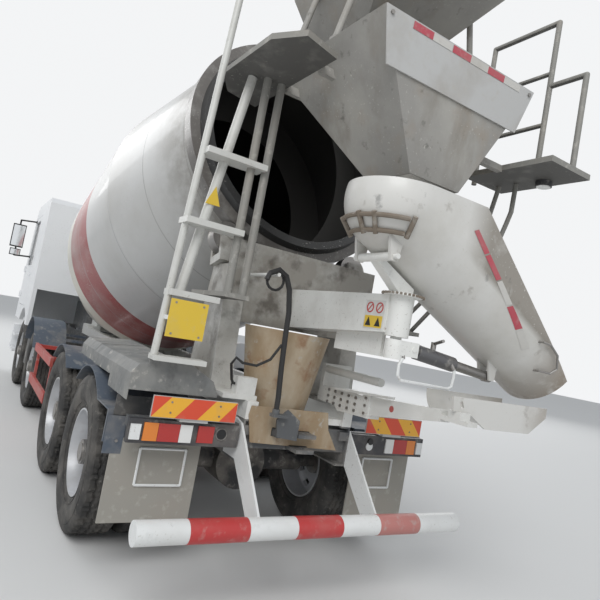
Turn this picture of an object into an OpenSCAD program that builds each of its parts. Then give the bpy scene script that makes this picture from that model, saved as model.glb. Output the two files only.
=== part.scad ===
/* [Chassis] */
// Distance from the first to the second steered axle
wheelbase_front = 1800; // [1600:10:2100]
// Distance from the second steered axle to the first driven axle
wheelbase_mid = 2850; // [2600:10:3400]
// Distance between the two driven axles
bogie_spacing = 1350; // [1300:10:1450]
// Width over the outside of the two frame rails
frame_w = 860; // [800:10:900]
// Height of the frame rails' top above the ground
rail_top = 1030; // [1010:5:1040]
// Height of a frame rail
rail_h = 280; // [250:10:300]
// Width of a frame rail's flanges
rail_flange = 85; // [70:5:100]
// Thickness of a frame rail
rail_wall = 12; // [8:1:16]
// Length of the frame behind the last axle
frame_rear = 900; // [860:10:1000]
// Length of the frame ahead of the first axle
frame_front = 1150; // [1100:10:1180]
// Height of the subframe that carries the drum
subframe_h = 115; // [100:5:120]
// Width of a subframe rail
subframe_w = 80; // [60:5:100]
// Thickness of small brackets and plates
plate_t = 12; // [8:1:16]

/* [Wheels] */
// Outside diameter of every tyre
tyre_d = 1076; // [1040:2:1090]
// Width of every tyre
tyre_w = 290; // [270:5:300]
// Diameter of the tyre's bead seat
rim_d = 606; // [590:2:610]
// Width of a rim between its edges
rim_w = 230; // [210:5:250]
// Thickness of a rim's barrel and disc
rim_t = 14; // [10:1:18]
// Distance from the middle of the truck to a front tyre's middle
front_track = 1040; // [1020:5:1055]
// Distance from the middle of the truck to an outer rear tyre's middle
rear_track = 1100; // [1090:5:1110]
// Distance between the middles of twin tyres
twin_spacing = 335; // [320:5:345]
// Radius of the spindles that the wheels turn on
spindle_r = 50; // [40:1:60]
// Radius of a wheel's hub
hub_r = 105; // [90:5:120]
// Play between a turning part and its pin
running_gap = 0.3; // [0.2:0.05:0.5]
// Distance from the middle of the truck to a kingpin
kingpin_y = 860; // [840:5:880]
// Radius of a kingpin
kingpin_r = 22; // [18:1:28]
// Thickness of an axle beam
axle_beam_h = 110; // [90:5:130]
// Radius of a rear axle's tube
axle_tube_r = 80; // [70:5:95]
// Radius of a rear axle's differential
diff_r = 210; // [180:10:230]

/* [Cab] */
// Width of the cab
cab_w = 2450; // [2400:10:2480]
// Where the cab's rear wall stands, ahead of the last axle
cab_back = 5250; // [5220:10:5300]
// Length of the cab over its front wall
cab_len = 2150; // [2100:10:2200]
// Height of the cab's roof above the ground
cab_top = 3030; // [2950:10:3100]
// Height of the cab's lower edge above the ground
cab_bottom = 1010; // [1000:5:1040]
// Thickness of the cab's walls and doors
cab_wall = 60; // [40:5:70]
// Height of the cab's floor above the ground
cab_floor = 1640; // [1600:10:1660]
// Height of the windscreen's lower edge
screen_low = 1960; // [1900:10:2000]
// Slope of the windscreen along the truck
screen_lean = 250; // [200:10:300]
// Radius of the wheel arch
arch_r = 700; // [690:5:710]
// Width of a door
door_w = 1000; // [950:10:1020]
// Height of a door's lower edge above the ground
door_low = 1260; // [1250:5:1300]
// Gap round a door and other moving panels
panel_gap = 6; // [5:1:10]
// Thickness of the cab's glass
glass_t = 8; // [5:1:10]
// Radius of the hinge pins of doors and flaps
hinge_pin_r = 8; // [6:1:10]

/* [Drum] */
// Largest radius of the drum
drum_r = 1173; // [1100:1:1180]
// Tilt of the drum's axis
drum_tilt = 15.3; // [14:0.1:16]
// Height of the drum's axis above the last axle
drum_axis_z = 3050; // [3040:5:3080]
// Thickness of the drum's wall
drum_wall = 10; // [6:1:14]
// Start of the cylindrical part, along the axis from above the last axle
drum_cyl_front = -3050; // [-3100:10:-3000]
// End of the cylindrical part, along the axis
drum_cyl_rear = -1231; // [-1300:10:-1200]
// End of the front cone, along the axis
drum_cone_front = -4350; // [-4400:10:-4300]
// Radius at the front end of the front cone
drum_head_r = 800; // [760:10:820]
// Depth of the drum's domed head
drum_head_depth = 330; // [300:10:350]
// Radius of the roller track round the drum's mouth
ring_r = 949; // [930:1:955]
// Width of the roller track
ring_w = 110; // [90:5:130]
// Rear face of the roller track, along the axis
ring_s = 172; // [150:2:190]
// Radius inside the mouth's rolled lip
mouth_r = 793; // [760:1:810]
// Thickness of the mouth's rolled lip
lip_t = 60; // [40:5:80]
// Radius of the flange that drives the drum
drive_flange_r = 240; // [200:10:260]
// Radius of a support roller
roller_r = 120; // [100:5:130]
// Width of a support roller
roller_w = 100; // [80:5:120]
// Angle from the ring's lowest point to a roller
roller_angle = 32; // [28:1:36]
// Radius of a roller's pin
roller_pin_r = 28; // [22:1:32]

/* [Rear support and beam] */
// Thickness of the rear support's columns
column_w = 150; // [120:5:170]
// Distance from the middle to a column's middle
column_y = 520; // [500:5:540]
// Where the swivel post of the chute stands, behind the last axle
post_x = -1700; // [-1720:5:-1680]
// Height of the beam's top above the ground
beam_top = 1940; // [1930:5:1945]
// Height of the beam at its root
beam_root_h = 280; // [260:5:290]
// Height of the beam at its end
beam_end_h = 215; // [200:5:230]
// Width of the beam
beam_w = 150; // [120:5:160]
// Radius of the beam's bush
bush_r = 68; // [60:1:75]
// Radius of the swivel post's pin
post_pin_r = 32; // [26:1:36]
// Height of the lower arm's top at its root above the ground
arm_top = 1300; // [1280:5:1310]
// Height of the lower arm at its root
arm_h = 125; // [100:5:130]
// Distance from the middle to the lower arm
arm_y = -330; // [-350:5:-320]

/* [Hoppers] */
// Height of the discharge hopper's rim above the ground
hopper_top = 3330; // [3300:5:3360]
// Height of the discharge hopper's outlet above the ground
hopper_low = 2590; // [2585:1:2600]
// Half width of the discharge hopper at its rim
hopper_half_w = 590; // [560:5:610]
// Half width of the discharge hopper's outlet
outlet_half_w = 190; // [170:5:200]
// Thickness of the hoppers' sheet
sheet_t = 10; // [6:1:14]
// Rear edge of the discharge hopper's rim, behind the last axle
hopper_rear = -1880; // [-1920:5:-1850]
// Front edge of the discharge hopper's rim
hopper_front = -760; // [-800:5:-740]
// Height of the feed hopper's rim above the discharge hopper's rim
feed_rise = 660; // [620:5:670]

/* [Chute] */
// Height of the chute's tilt hinge above the ground
tilt_z = 2115; // [2105:1:2120]
// Distance from the swivel axis back to the tilt hinge
tilt_back = 240; // [235:1:245]
// Radius of the tilt hinge's pin
tilt_pin_r = 14; // [10:1:16]
// Length of the tilt hinge's pin
tilt_pin_len = 370; // [360:5:390]
// Radius of the trough and of its bowl
trough_r = 285; // [280:1:290]
// Thickness of the trough's sheet
trough_t = 8; // [6:1:10]
// Length of the trough from the bowl's middle
trough_len = 1620; // [1500:10:1640]
// Slope of the trough
trough_slope = 26; // [25.5:0.5:27]
// Distance from the swivel axis back to the bowl's middle
bowl_back = 170; // [165:1:175]
// Height of the bowl's middle above the ground
bowl_z = 2435; // [2430:1:2440]
// Height of the bowl's rim above the ground
bowl_rim_z = 2500; // [2480:2:2510]
// Slope of the trough's rim
rim_slope = 41; // [39:0.5:42]
// Where the rim begins to fall, to the left of the swivel axis
rim_break = -250; // [-280:5:-220]
// Radius of the jack's barrel
jack_barrel_r = 45; // [40:1:48]
// Radius of the jack's rod
jack_rod_r = 30; // [24:1:34]
// Height of the jack's lower pin above the ground
jack_z = 1655; // [1652:1:1658]
// Length of the jack's barrel from its pin
barrel_len = 380; // [360:5:400]

/* [Guards and lamps] */
// Radius of the rear wheels' guards
guard_r = 600; // [590:5:620]
// Radius of the second axle's guards
steer_guard_r = 665; // [650:5:680]
// Thickness of a guard
guard_t = 8; // [5:1:12]
// Outer edge of the guards, from the middle of the truck
guard_out = 1245; // [1240:1:1250]
// Where the mudflaps hang, behind the last axle
flap_x = -732; // [-760:2:-710]
// Lower edge of the mudflaps above the ground
flap_low = 324; // [300:5:350]
// Diameter of the rear bumper's tube
bumper_d = 128; // [110:2:140]
// Half length of the rear bumper's tube
bumper_half = 1156; // [1140:2:1200]
// Where the rear bumper's tube lies, behind the last axle
bumper_x = -1324; // [-1350:2:-1300]
// Height of the rear bumper's tube above the ground
bumper_z = 498; // [480:2:520]
// Where the lamp bars' rear faces lie, behind the last axle
lamp_x = -909; // [-920:1:-900]
// Where the marker boards' rear faces lie, behind the last axle
board_x = -958; // [-970:1:-950]

/* [Hidden] */
$fn = 64;

// Axle places ahead of the last axle
axle_1 = bogie_spacing + wheelbase_mid + wheelbase_front;
axle_2 = bogie_spacing + wheelbase_mid;
axle_3 = bogie_spacing;
axle_4 = 0;
wheel_z = tyre_d / 2;
frame_start = -frame_rear;
frame_end = axle_1 + frame_front;
cab_front = cab_back + cab_len;
bumper_front = cab_front + 50;
rear_reach = -2050;
// The origin lies under the middle of the whole truck
rear_axle_x = -(bumper_front + rear_reach) / 2;
subframe_top = rail_top + subframe_h;
rail_low = rail_top - rail_h;
seat_gap = 0.3;
bumper_top = 870;
// Tilt axis of the cab, ahead of the last axle, and its lugs
pivot_x = cab_front - 120;
pivot_z = 950;
pivot_r = 20;
pivot_lug_y = 395;

// Puts a piece that is measured from the last axle into the part's frame
module from_last_axle() {
    translate([rear_axle_x, 0, 0]) children();
}

// Turns a profile drawn in X and Z into a slab from y0 to y1
module side_slab(y0, y1, points) {
    translate([0, y1, 0]) rotate([90, 0, 0]) linear_extrude(y1 - y0) polygon(points);
}

// A box given by its lowest and highest corners
module span(low, high) {
    translate(low) cube(high - low);
}

// A tube or bar along Y
module bar_y(x, y0, y1, z, r) {
    translate([x, y0, z]) rotate([-90, 0, 0]) cylinder(r = r, h = y1 - y0);
}

// A tube or bar along X
module bar_x(x0, x1, y, z, r) {
    translate([x0, y, z]) rotate([0, 90, 0]) cylinder(r = r, h = x1 - x0);
}

// A straight round bar between two points
module rod(a, b, r) {
    d = b - a;
    len = norm(d);
    translate(a) rotate([0, acos(d[2] / len), atan2(d[1], d[0])]) cylinder(r = r, h = len);
}

// Makes a piece on the left and its mirror image on the right
module both_sides() {
    children();
    mirror([0, 1, 0]) children();
}

// Chassis

// Cross members between the rails: rows of rear face and height
cross_members = [[frame_start + 30, 160], [675, 160], [2250, 160], [3300, 160], [4600, 70], [frame_end - 60, 160]];

// Cross members end just short of the rails' webs, so that each rail is a solid of its own
cross_half = frame_w / 2 - rail_wall - seat_gap;
lamp_beam_low = 930;
lamp_beam_high = 990;
lamp_beam_front = -820;

module chassis_frame() {
    color("dimgray") from_last_axle() {
        both_sides() difference() {
            span([frame_start, frame_w / 2 - rail_flange, rail_low], [frame_end, frame_w / 2, rail_top]);
            span([frame_start - 1, frame_w / 2 - rail_flange - 1, rail_low + rail_wall],
                 [frame_end + 1, frame_w / 2 - rail_wall, rail_top - rail_wall]);
            span([frame_start - 2, frame_w / 2 - rail_flange - 1, lamp_beam_low - seat_gap],
                 [lamp_beam_front + seat_gap, frame_w / 2 + 1, lamp_beam_high + seat_gap]);
        }
        for (row = cross_members)
            span([row[0], -cross_half, rail_top - 30 - row[1]], [row[0] + 60, cross_half, rail_top - 30]);
        lamp_beam();
        tow_bracket();
        pivot_brackets();
        valve_bracket();
    }
}

valve_x = -1015;
valve_y = 279;
valve_top = 1130;

// Bent bracket behind the frame's end, with the valve of the water hose
module valve_bracket() {
    cross_slab(frame_start - 100, frame_start - 85, [[75, 930], [229, 947], [250, 1060], [177, 1129], [75, 1063]]);
    for (y = [100, 195]) span([frame_start - 86, y, 940], [-869, y + 25, 985]);
    span([valve_x - 28, 200, 1080], [frame_start - 85, valve_y + 28, 1100]);
    translate([valve_x, valve_y, 1099]) cylinder(r = 24, h = valve_top - 1099);
}

// Cross beam behind the frame that carries the lamps and boards
module lamp_beam() {
    span([lamp_beam_front - 50, -1160, lamp_beam_low], [lamp_beam_front, 1160, lamp_beam_high]);
    both_sides() span([frame_start - 1, frame_w / 2 - rail_flange, lamp_beam_low], [lamp_beam_front, frame_w / 2, lamp_beam_high]);
}

// Plates and pins at the frame's front that the cab tilts on
module pivot_brackets() {
    both_sides() {
        side_slab(frame_w / 2 - rail_flange, pivot_lug_y - 5,
            [[frame_end - 200, bumper_top + 10], [frame_end, bumper_top + 10], [pivot_x + 35, pivot_z - 35],
             [pivot_x + 35, pivot_z + 30], [frame_end, rail_top - 2], [frame_end - 200, rail_top - 2]]);
        bar_y(pivot_x, frame_w / 2 - rail_flange, pivot_lug_y + 62, pivot_z, pivot_r);
    }
}

tow_bore_r = 21;

// Rear tow bracket with its upright pin hole
module tow_bracket() {
    difference() {
        union() {
            span([frame_start - 110, -70, rail_top - 180], [frame_start + 31, 70, rail_top - 155]);
            span([frame_start - 110, -70, rail_top - 80], [frame_start + 31, 70, rail_top - 55]);
        }
        translate([frame_start - 60, 0, rail_top - 200]) cylinder(r = tow_bore_r, h = 200);
    }
}

module drum_subframe() {
    color("gainsboro") from_last_axle() {
        both_sides() span([frame_start, frame_w / 2 - subframe_w, rail_top], [5080, frame_w / 2, subframe_top]);
        for (x = [frame_start + 20, 1000, 2250, 3300, 4990])
            span([x, -frame_w / 2 + subframe_w + seat_gap, rail_top],
                 [x + 80, frame_w / 2 - subframe_w - seat_gap, rail_top + 45]);
        front_pedestal();
    }
}

gearbox_r = 250;

// Stand behind the cab that carries the drum's gearbox
module front_pedestal() {
    both_sides() {
        side_slab(gearbox_r + seat_gap, gearbox_r + 60,
                  [[4640, subframe_top - 50], [5080, subframe_top - 50], [5060, 1980], [4760, 2060]]);
        side_slab(gearbox_r + 50, frame_w / 2,
                  [[4660, subframe_top + seat_gap], [5080, subframe_top + seat_gap],
                   [5080, subframe_top + 40], [4660, subframe_top + 40]]);
    }
    difference() {
        span([5040, -gearbox_r - 30, subframe_top - 50], [5080, gearbox_r + 30, 1900]);
        translate([5020, 0, 1560]) rotate([0, 90, 0]) cylinder(r = 140, h = 80);
    }
}

// Local Z runs along the drum's axis to the rear, local X points up
module along_drum() {
    translate([0, 0, drum_axis_z]) rotate([0, drum_tilt - 90, 0]) children();
}

gearbox_start = drum_cone_front - drum_head_depth - 45;

module drive_units() {
    color("slategray") from_last_axle() {
        engine_block();
        drum_gearbox();
    }
}

engine_back = cab_back + 150;
engine_len = 1160;
engine_half_w = 340;
gearbox_back = cab_back - 490;
gearbox_z = 800;

// The engine and its gearbox between the rails
module engine_block() {
    span([engine_back, -engine_half_w, gearbox_z - 100], [engine_back + engine_len, engine_half_w, rail_top + 470]);
    bar_x(gearbox_back, engine_back + 1, 0, gearbox_z, 200);
    both_sides() for (x = [engine_back + 100, engine_back + engine_len - 210])
        span([x, engine_half_w - 10, rail_top], [x + 120, frame_w / 2, rail_top + 40]);
}

module drum_gearbox() {
    along_drum() difference() {
        union() {
            translate([0, 0, gearbox_start - 330]) cylinder(r = gearbox_r, h = 330);
            translate([0, 0, gearbox_start - 400]) cylinder(r = 130, h = 80);
        }
        translate([0, 0, gearbox_start - 160]) cylinder(r = 60 + running_gap, h = 161);
    }
}

// Axles

axle_seat_z = wheel_z + axle_beam_h / 2;

module axles() {
    color("darkslategray") from_last_axle() {
        for (x = [axle_1, axle_2]) translate([x, 0, 0]) front_axle();
        for (x = [axle_3, axle_4]) translate([x, 0, 0]) rear_axle();
        prop_shafts();
    }
}

knuckle_h = 130;

// Dropped beam with an upright kingpin at each end
module front_axle() {
    span([-45, -kingpin_y + 40, wheel_z - axle_beam_h / 2], [45, kingpin_y - 40, wheel_z + axle_beam_h / 2]);
    both_sides() {
        translate([0, kingpin_y, wheel_z - axle_beam_h / 2]) cylinder(r = 48, h = axle_beam_h);
        translate([0, kingpin_y, wheel_z - knuckle_h]) cylinder(r = kingpin_r, h = 2 * knuckle_h);
    }
}

spindle_end = rear_track + 40;

module rear_axle() {
    bar_y(0, -620, 620, wheel_z, axle_tube_r);
    bar_y(0, -spindle_end, spindle_end, wheel_z, spindle_r);
    translate([-150, 0, wheel_z]) rotate([0, 90, 0]) cylinder(r = diff_r, h = 320);
    both_sides() span([-70, 475, wheel_z + 10], [70, 565, rear_spring_z - rear_spring_rise - seat_gap]);
}

// Shafts from the engine's gearbox to the driven axles
module prop_shafts() {
    rod([axle_3 + 160, 0, wheel_z + 60], [gearbox_back - 4, 0, gearbox_z], 55);
    rod([axle_4 + 160, 0, wheel_z + 60], [axle_3 - 140, 0, wheel_z + 60], 50);
}

rear_spring_z = 783;
rear_spring_rise = 173;
spring_w = 90;
spring_t = 80;
front_spring_half = 600;
front_spring_y = 385;

// Middle line of a bowed spring: height at a distance along it
function bow(x, half, rise) = rise * (x / half) * (x / half);

module bowed_spring(half, rise, y) {
    steps = [for (i = [-6:6]) i / 6 * half];
    side_slab(y - spring_w / 2, y + spring_w / 2,
              concat([for (x = steps) [x, bow(x, half, rise)]],
                     [for (i = [6:-1:-6]) [i / 6 * half, bow(i / 6 * half, half, rise) + spring_t * (1 - 0.5 * abs(i) / 6)]]));
}

module leaf_springs() {
    color("dimgray") from_last_axle() {
        both_sides() {
            for (x = [axle_1, axle_2]) translate([x, 0, axle_seat_z]) {
                bowed_spring(front_spring_half, rail_low - axle_seat_z - 60, front_spring_y);
                for (i = [-1, 1])
                    span([i * front_spring_half - 30, front_spring_y - 45, rail_low - axle_seat_z - 62],
                         [i * front_spring_half + 30, front_spring_y + 45, rail_low - axle_seat_z]);
            }
            translate([bogie_spacing / 2, 0, rear_spring_z])
                bowed_spring(bogie_spacing / 2 + 50, -rear_spring_rise, 520);
            trunnion();
        }
    }
}

// Saddle that hangs the rear springs on the frame
module trunnion() {
    x = bogie_spacing / 2;
    span([x - 110, frame_w / 2, 830], [x + 110, 470, 990]);
    span([x - 110, 430, 800], [x + 110, 570, 840]);
}

// Wheels

// Half of a tyre's section, drawn as distance from the axle and along it
function tyre_section(w, r, bead) = [
    [bead, -w * 0.36], [bead + 45, -w * 0.42], [(r + bead) / 2 + 5, -w / 2], [r - 40, -w * 0.475],
    [r - 6, -w * 0.40], [r, -w * 0.30], [r, w * 0.30], [r - 6, w * 0.40],
    [r - 40, w * 0.475], [(r + bead) / 2 + 5, w / 2], [bead + 45, w * 0.42], [bead, w * 0.36]];

module tyre_ring() {
    rotate([-90, 0, 0]) rotate_extrude($fn = 96) polygon(tyre_section(tyre_w, tyre_d / 2, rim_d / 2));
}

rim_r = rim_d / 2 - seat_gap;

// A rim whose disc lies at disc_y, with its hub from hub_y0 to hub_y1
module rim_ring(disc_y, hub_y0, hub_y1) {
    h = rim_w / 2;
    rotate([-90, 0, 0]) rotate_extrude($fn = 96) union() {
        polygon([[rim_r - rim_t, -h], [rim_r - rim_t + 10, -h], [rim_r, -h + 12], [rim_r, h - 12],
                 [rim_r - rim_t + 10, h], [rim_r - rim_t, h]]);
        polygon([[hub_r - 1, disc_y], [rim_r - 60, disc_y], [rim_r - rim_t + 1, disc_y - 50],
                 [rim_r - rim_t + 1, disc_y - 50 + rim_t], [rim_r - 60, disc_y + rim_t], [hub_r - 1, disc_y + rim_t]]);
        translate([spindle_r + running_gap, hub_y0]) square([hub_r - spindle_r - running_gap, hub_y1 - hub_y0]);
    }
}

// Puts a wheel on its axle, on the left or mirrored to the right
module at_wheel(x, y, side) {
    from_last_axle() mirror([0, side < 0 ? 1 : 0, 0]) translate([x, y, wheel_z]) children();
}

module front_tyre(x, side) {
    color("#2b2b2b") at_wheel(x, front_track, side) tyre_ring();
}

module front_rim(x, side) {
    color("silver") at_wheel(x, front_track, side) {
        rim_ring(60, -50, 110);
        translate([0, 110, 0]) rotate([-90, 0, 0]) cylinder(r = 80, h = 40);
    }
}

module twin_tyres(x, side) {
    color("#2b2b2b") {
        at_wheel(x, rear_track, side) tyre_ring();
        at_wheel(x, rear_track - twin_spacing, side) tyre_ring();
    }
}

module twin_rims(x, side) {
    color("silver") {
        at_wheel(x, rear_track, side) {
            mirror([0, 1, 0]) rim_ring(85, 40, 100);
            rotate([-90, 0, 0]) translate([0, 0, 41]) cylinder(r = 85, h = 60);
        }
        at_wheel(x, rear_track - twin_spacing, side) rim_ring(85, 20, 251);
        at_wheel(x, rear_track, side) rotate([-90, 0, 0]) difference() {
            translate([0, 0, -101]) cylinder(r = hub_r, h = 150);
            translate([0, 0, -102]) cylinder(r = spindle_r + running_gap, h = 143.5);
        }
    }
}

// Steering knuckle: two lugs on the kingpin and a spindle
module knuckle(x, side) {
    color("dimgray") at_wheel(x, 0, side) {
        difference() {
            union() {
                for (z = [-knuckle_h + 5, axle_beam_h / 2 + 1])
                    translate([0, kingpin_y, z]) cylinder(r = 50, h = knuckle_h - 6 - axle_beam_h / 2);
                for (z = [-knuckle_h + 5, axle_beam_h / 2 + 1])
                    span([-45, kingpin_y, z], [45, kingpin_y + 75, z + knuckle_h - 6 - axle_beam_h / 2]);
                span([-60, kingpin_y + 62, -knuckle_h + 5], [60, kingpin_y + 90, knuckle_h - 5]);
                bar_y(0, kingpin_y + 80, front_track + 100, 0, spindle_r);
            }
            translate([0, kingpin_y, -knuckle_h - 1]) cylinder(r = kingpin_r + running_gap, h = 2 * knuckle_h + 2);
        }
    }
}

// Guards

// Curved guard over a wheel, from one angle to another above the axle
module arc_guard(x, r, y0, y1, from_angle, to_angle) {
    translate([x, y1, wheel_z]) rotate([90, 0, 0]) rotate([0, 0, from_angle])
        rotate_extrude(angle = to_angle - from_angle, $fn = 72) translate([r, 0]) square([guard_t, y1 - y0]);
}

guard_in = 612;

guard_from = 48;
guard_end_z = wheel_z + guard_r * sin(guard_from);
arm_t = 15;

module mudguards() {
    color("slategray") from_last_axle() both_sides() {
        for (x = [axle_3, axle_4]) {
            arc_guard(x, guard_r, guard_in, guard_out, guard_from, 180 - guard_from);
            for (i = [-1, 1])
                span([x + i * 300 - 20, frame_w / 2 + seat_gap, 1060], [x + i * 300 + 20, 900, 1085]);
        }
        span([flap_x - 2, guard_in, guard_end_z], [-395, guard_out, guard_end_z + guard_t]);
        span([flap_x - 2, guard_in, 800], [flap_x + 18, guard_out, guard_end_z + 1]);
        span([flap_x - 2, frame_w / 2 + arm_t + seat_gap, 900], [flap_x + 18, guard_in + 1, 940]);
        arc_guard(axle_2, steer_guard_r, 850, guard_out, 28, 152);
        for (i = [-1, 1])
            span([axle_2 + i * 480 - 20, frame_w / 2 + seat_gap, rail_top - 60], [axle_2 + i * 480 + 20, 860, rail_top - 25]);
    }
}

module mudflaps() {
    color("#8a8578") from_last_axle() both_sides()
        span([flap_x - 2 - seat_gap - 12, 625, flap_low], [flap_x - 2 - seat_gap, 1191, 830]);
}

guard_start = 2020;
guard_stop = 3480;

module side_guards() {
    color("indianred") from_last_axle() both_sides() {
        span([guard_start, 1195, 840], [guard_stop, 1225, 930]);
        span([guard_start, 1195, 460], [guard_stop, 1225, 560]);
        for (x = [guard_start + 100, guard_stop - 140]) {
            span([x, 1165, 460], [x + 40, 1196, 930]);
            span([x, frame_w / 2, 880], [x + 40, 1170, 925]);
        }
    }
}

// Rear bumper tube on its two tapered arms
module rear_bumper() {
    color("whitesmoke") from_last_axle() {
        bar_y(bumper_x, -bumper_half, bumper_half, bumper_z, bumper_d / 2);
        both_sides() difference() {
            side_slab(frame_w / 2, frame_w / 2 + arm_t,
                [[-880, rail_low + 20], [-700, rail_low + 20], [-700, rail_top - 20], [-800, rail_top - 10],
                 [-890, rail_top - 30], [bumper_x - 10, bumper_z + 30], [bumper_x + 30, bumper_z - 40],
                 [bumper_x + 150, bumper_z - 10]]);
            span([-870 - seat_gap, frame_w / 2 - 1, 930 - seat_gap], [-820 + seat_gap, frame_w / 2 + arm_t + 1, 990 + seat_gap]);
        }
    }
}

lamp_in = 458;
lamp_out = 1161;

module lamps() {
    color("firebrick") from_last_axle() both_sides() {
        span([lamp_x, lamp_in, 844], [-870 - seat_gap, lamp_out, 985]);
        span([bumper_front - 70, 800, 620], [bumper_front, 1130, 800]);
    }
}

module marker_boards() {
    color("gold") from_last_axle() {
        both_sides() {
            span([board_x, 524, 1008], [board_x + 8, 1065, 1136]);
            span([board_x + 8, 700, 991], [board_x + 38, 880, 1120]);
            span([board_x + 30, 700, 990 + seat_gap], [-825, 880, 996]);
        }
        number_board();
    }
}

// Blank sheet just behind the discharge hopper's rear wall
module number_board() {
    lean = atan((outlet_rear - hopper_rear) / (hopper_top - hopper_low));
    translate([hopper_rear - seat_gap, 0, hopper_top - 5]) rotate([0, -lean - 90, 0])
        linear_extrude(10) polygon([[0, -590], [0, 590], [-275, 510], [-275, -510]]);
}

// Tanks and boxes on the frame

module tanks() {
    color("lightgray") from_last_axle() {
        fuel_tank();
        air_tanks();
        water_tank();
    }
}

tank_back = axle_3 + 800;
tank_len = 1100;
tank_in = 500;
tank_out = 1120;
tank_low = 400;
tank_high = rail_top - 180;

module fuel_tank() {
    span([tank_back, -tank_out, tank_low], [tank_back + tank_len, -tank_in, tank_high]);
    for (x = [tank_back + 150, tank_back + tank_len - 210])
        span([x, -tank_in - 1, tank_low + 100], [x + 60, -frame_w / 2, tank_high]);
}

air_tank_r = 110;
air_tank_y = frame_w / 2 + 190;

module air_tanks() {
    for (z = [560, 800]) bar_x(tank_back + 50, tank_back + 900, air_tank_y, z, air_tank_r);
    for (x = [tank_back + 250, tank_back + 700]) span([x, frame_w / 2, 560], [x + 40, air_tank_y, 900]);
}

water_r = 215;
water_y = -980;
water_z = rail_top + 135;

module water_tank() {
    bar_x(tank_back + 50, tank_back + 1230, water_y, water_z, water_r);
    for (x = [tank_back + 170, tank_back + 1050]) {
        span([x, water_y - 20, rail_top - 95], [x + 50, -frame_w / 2, rail_top - 45]);
        span([x, water_y - 30, rail_top - 95], [x + 50, water_y + 40, rail_top - 30]);
    }
}

module chassis_boxes() {
    color("darkgray") from_last_axle() {
        for (side = [0, 1]) mirror([0, side, 0]) {
            span([cab_back - 320, 500, 450], [cab_back - 20, 1150, 940]);
            span([cab_back - 290, frame_w / 2, 780], [cab_back - 50, 501, 900]);
        }
    }
}

// Front bumper with the cab's steps

module front_bumper() {
    color("whitesmoke") from_last_axle() {
        difference() {
            span([frame_end, -cab_w / 2, 430], [bumper_front, cab_w / 2, bumper_top]);
            span([frame_end - 1, -cab_w / 2 + 440, 429], [bumper_front - 60, cab_w / 2 - 440, 730]);
            both_sides() span([bumper_front - 70 - seat_gap, 800 - seat_gap, 620 - seat_gap],
                              [bumper_front + 1, 1130 + seat_gap, 800 + seat_gap]);
        }
        both_sides() {
            span([6700, 1010, 430], [frame_end + 1, cab_w / 2, 470]);
            span([6700, 1010, 690], [frame_end + 1, cab_w / 2, 730]);
            span([6700, 1000, 430], [frame_end + 1, 1030, 900]);
        }
    }
}

// Cab

roof_front = cab_front - screen_lean - 250;

// Outline of the cab from the side, drawn in by an amount
function cab_outline(t) = [
    [cab_back + t, cab_bottom], [cab_back + t, cab_top - 80 - t / 2], [cab_back + 80 + t / 2, cab_top - t],
    [roof_front - t / 4, cab_top - t], [cab_front - screen_lean - t, cab_top - 130 - t / 2],
    [cab_front - 20 - t, screen_low], [cab_front - t, screen_low - 40], [cab_front - t, cab_bottom]];

door_front = cab_front - 210;
door_back = door_front - door_w;

// Outline of the door opening from the side, drawn in by an amount
function door_outline(t) = [
    [door_back + t, door_low + t], [door_front - t, door_low + t], [door_front - t, screen_low + 30],
    [cab_front - screen_lean - 120 - t, cab_top - 210 - t], [door_back + t, cab_top - 210 - t]];

// Outline of the door's window
function window_outline(t) = [
    [door_back + 110 + t, 1960 + t], [door_front - 90 - t, 1960 + t], [door_front - 90 - t, screen_low + 80],
    [cab_front - screen_lean - 200 - t, cab_top - 290 - t], [door_back + 110 + t, cab_top - 290 - t]];

module cab_shell() {
    color("white") from_last_axle() {
        difference() {
            side_slab(-cab_w / 2, cab_w / 2, cab_outline(0));
            side_slab(-cab_w / 2 + cab_wall, cab_w / 2 - cab_wall,
                      concat([for (p = cab_outline(cab_wall)) [p[0], max(p[1], cab_floor)]]));
            span([cab_back - 1, -cab_w / 2 + cab_wall, cab_bottom - 1],
                 [cab_front - cab_wall, cab_w / 2 - cab_wall, cab_floor - cab_wall]);
            translate([axle_1, cab_w / 2 + 1, wheel_z]) rotate([90, 0, 0]) cylinder(r = arch_r, h = cab_w + 2, $fn = 96);
            both_sides() side_slab(cab_w / 2 - cab_wall - 1, cab_w / 2 + 1, door_outline(0));
            windscreen_cut(0);
        }
        pivot_lugs();
        door_lugs();
        flap_lugs();
    }
}

screen_half = 1080;
screen_a = [cab_front - 20, screen_low];
screen_b = [cab_front - screen_lean, cab_top - 130];
screen_dir = (screen_b - screen_a) / norm(screen_b - screen_a);

// Slab through the windscreen's opening, drawn in by an amount
module windscreen_cut(t) {
    a = screen_a + screen_dir * (90 + t);
    b = screen_b - screen_dir * (90 + t);
    n = [screen_dir[1], -screen_dir[0]];
    side_slab(-screen_half + t, screen_half - t, [a - n * 90, b - n * 90, b + n * 20, a + n * 20]);
}

module windscreen() {
    color([0.3, 0.4, 0.45, 0.5]) from_last_axle() {
        t = seat_gap;
        a = screen_a + screen_dir * (90 + t);
        b = screen_b - screen_dir * (90 + t);
        n = [screen_dir[1], -screen_dir[0]];
        side_slab(-screen_half + t, screen_half - t, [a - n * 30, b - n * 30, b - n * (30 - glass_t), a - n * (30 - glass_t)]);
    }
}

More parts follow.
